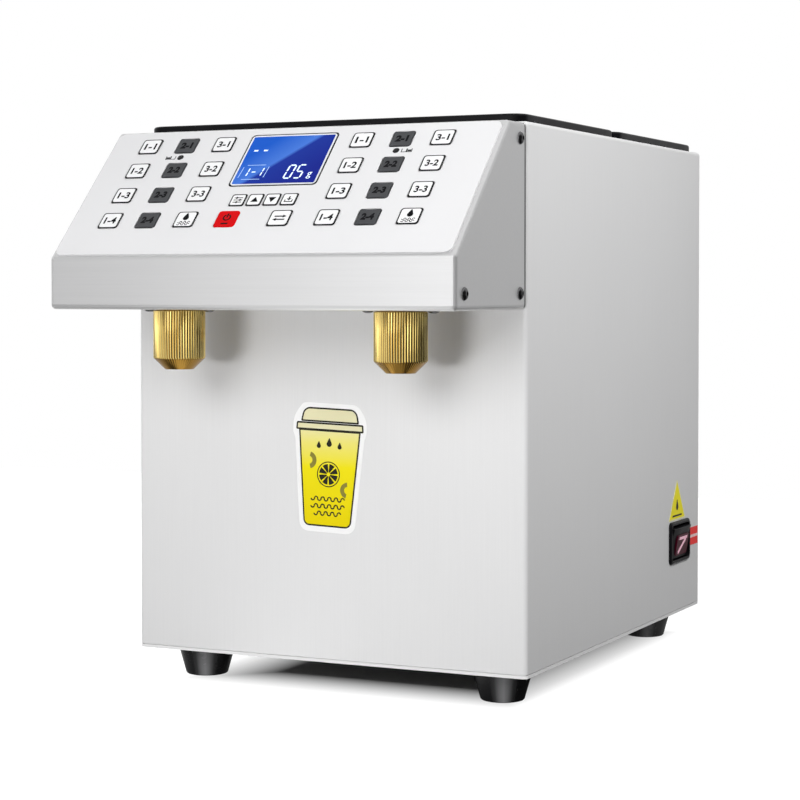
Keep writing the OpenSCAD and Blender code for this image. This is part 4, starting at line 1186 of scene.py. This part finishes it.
# %% Rocker
well_w, well_h = size.x - WELL[0], size.y - WELL[1]
rock_w, rock_h, pivot, lean = well_w - 0.8, well_h - 2.6, -3.5, math.radians(9)
rocker = bmesh.new()
made = bmesh.ops.create_grid(rocker, x_segments=2, y_segments=14, size=0.5)["verts"]
bmesh.ops.scale(rocker, vec=(rock_w, rock_h, 1), verts=made)
for v in made:
    v.co.z = 4.2 + 1.3 * (v.co.y / (rock_h / 2)) ** 2
walls = bmesh.ops.extrude_face_region(rocker, geom=rocker.faces[:])["geom"]
for v in (g for g in walls if isinstance(g, bmesh.types.BMVert)):
    v.co.z = -2.0 - 2.0 * (1 - abs(v.co.y) / (rock_h / 2))
bmesh.ops.recalc_face_normals(rocker, faces=rocker.faces)
edges = [e for e in rocker.edges if len(e.link_faces) == 2 and e.calc_face_angle() > 0.9
         and (e.verts[0].co.z + e.verts[1].co.z) > 6]
bmesh.ops.bevel(rocker, geom=edges, offset=0.7, offset_type="OFFSET", affect="EDGES", segments=3,
                profile=0.5, material=-1)
bmesh.ops.create_cone(rocker, cap_ends=True, segments=20, radius1=1.5, radius2=1.5,
                      depth=well_w + 1.0, matrix=Matrix.Rotation(math.pi / 2, 4, "Y"))
swing = moved(side, middle.x, middle.y, pivot) @ Matrix.Rotation(lean, 4, "X")
add_piece(rocker, "switch_paddle", [switch_black], swing, "rocker", "switch_rocker")
print("rocker", round(rock_w, 1), "by", round(rock_h, 1), "mm, leaning", round(math.degrees(lean)))

# %% [markdown]
# A red lens that is lit from behind is set in the rocker. A pale glowing stroke on it is a painted
# highlight.

# %% Lens and painted highlight
lens_red = Finish("lens_red", (0.030, 0.002, 0.008), 0.3, Emission_Color=(0.30, 0.01, 0.05, 1),
                  Emission_Strength=0.06, Specular_IOR_Level=0.12).tint(150.0, 0.1)
lens_highlight_glow = Finish("lens_highlight_glow", (0.85, 0.50, 0.60), 0.3, Emission_Color=(0.9, 0.50, 0.60, 1),
                   Emission_Strength=0.25, Specular_IOR_Level=0.15).tint(200.0, 0.05)
LENS_AT, LENS_W, LENS_H, LENS_TOP = (4.0, -2.0), 27.0, 15.5, 5.5
lens_piece = bmesh.new()
stack(lens_piece, LENS_W, LENS_H, 2.2, [(3.0, 0), (LENS_TOP - 0.35, 0), (LENS_TOP, 0.8)])
add_piece(lens_piece, "switch_lens", [lens_red], moved(swing, *LENS_AT), "rocker")
# Painted highlight: a pale stroke that glows, lying on the lens.
stroke = bmesh.new()
bar(stroke, (-8.0, -5.6), (6.2, 4.6), 3.0)
bar(stroke, (-9.0, 5.3), (8.8, 5.3), 2.2)
thicken(stroke, PRINT)
add_piece(stroke, "switch_highlight", [lens_highlight_glow], moved(swing, *LENS_AT, LENS_TOP - 0.01), "rocker")
print("lens", LENS_W, "by", LENS_H, "mm")
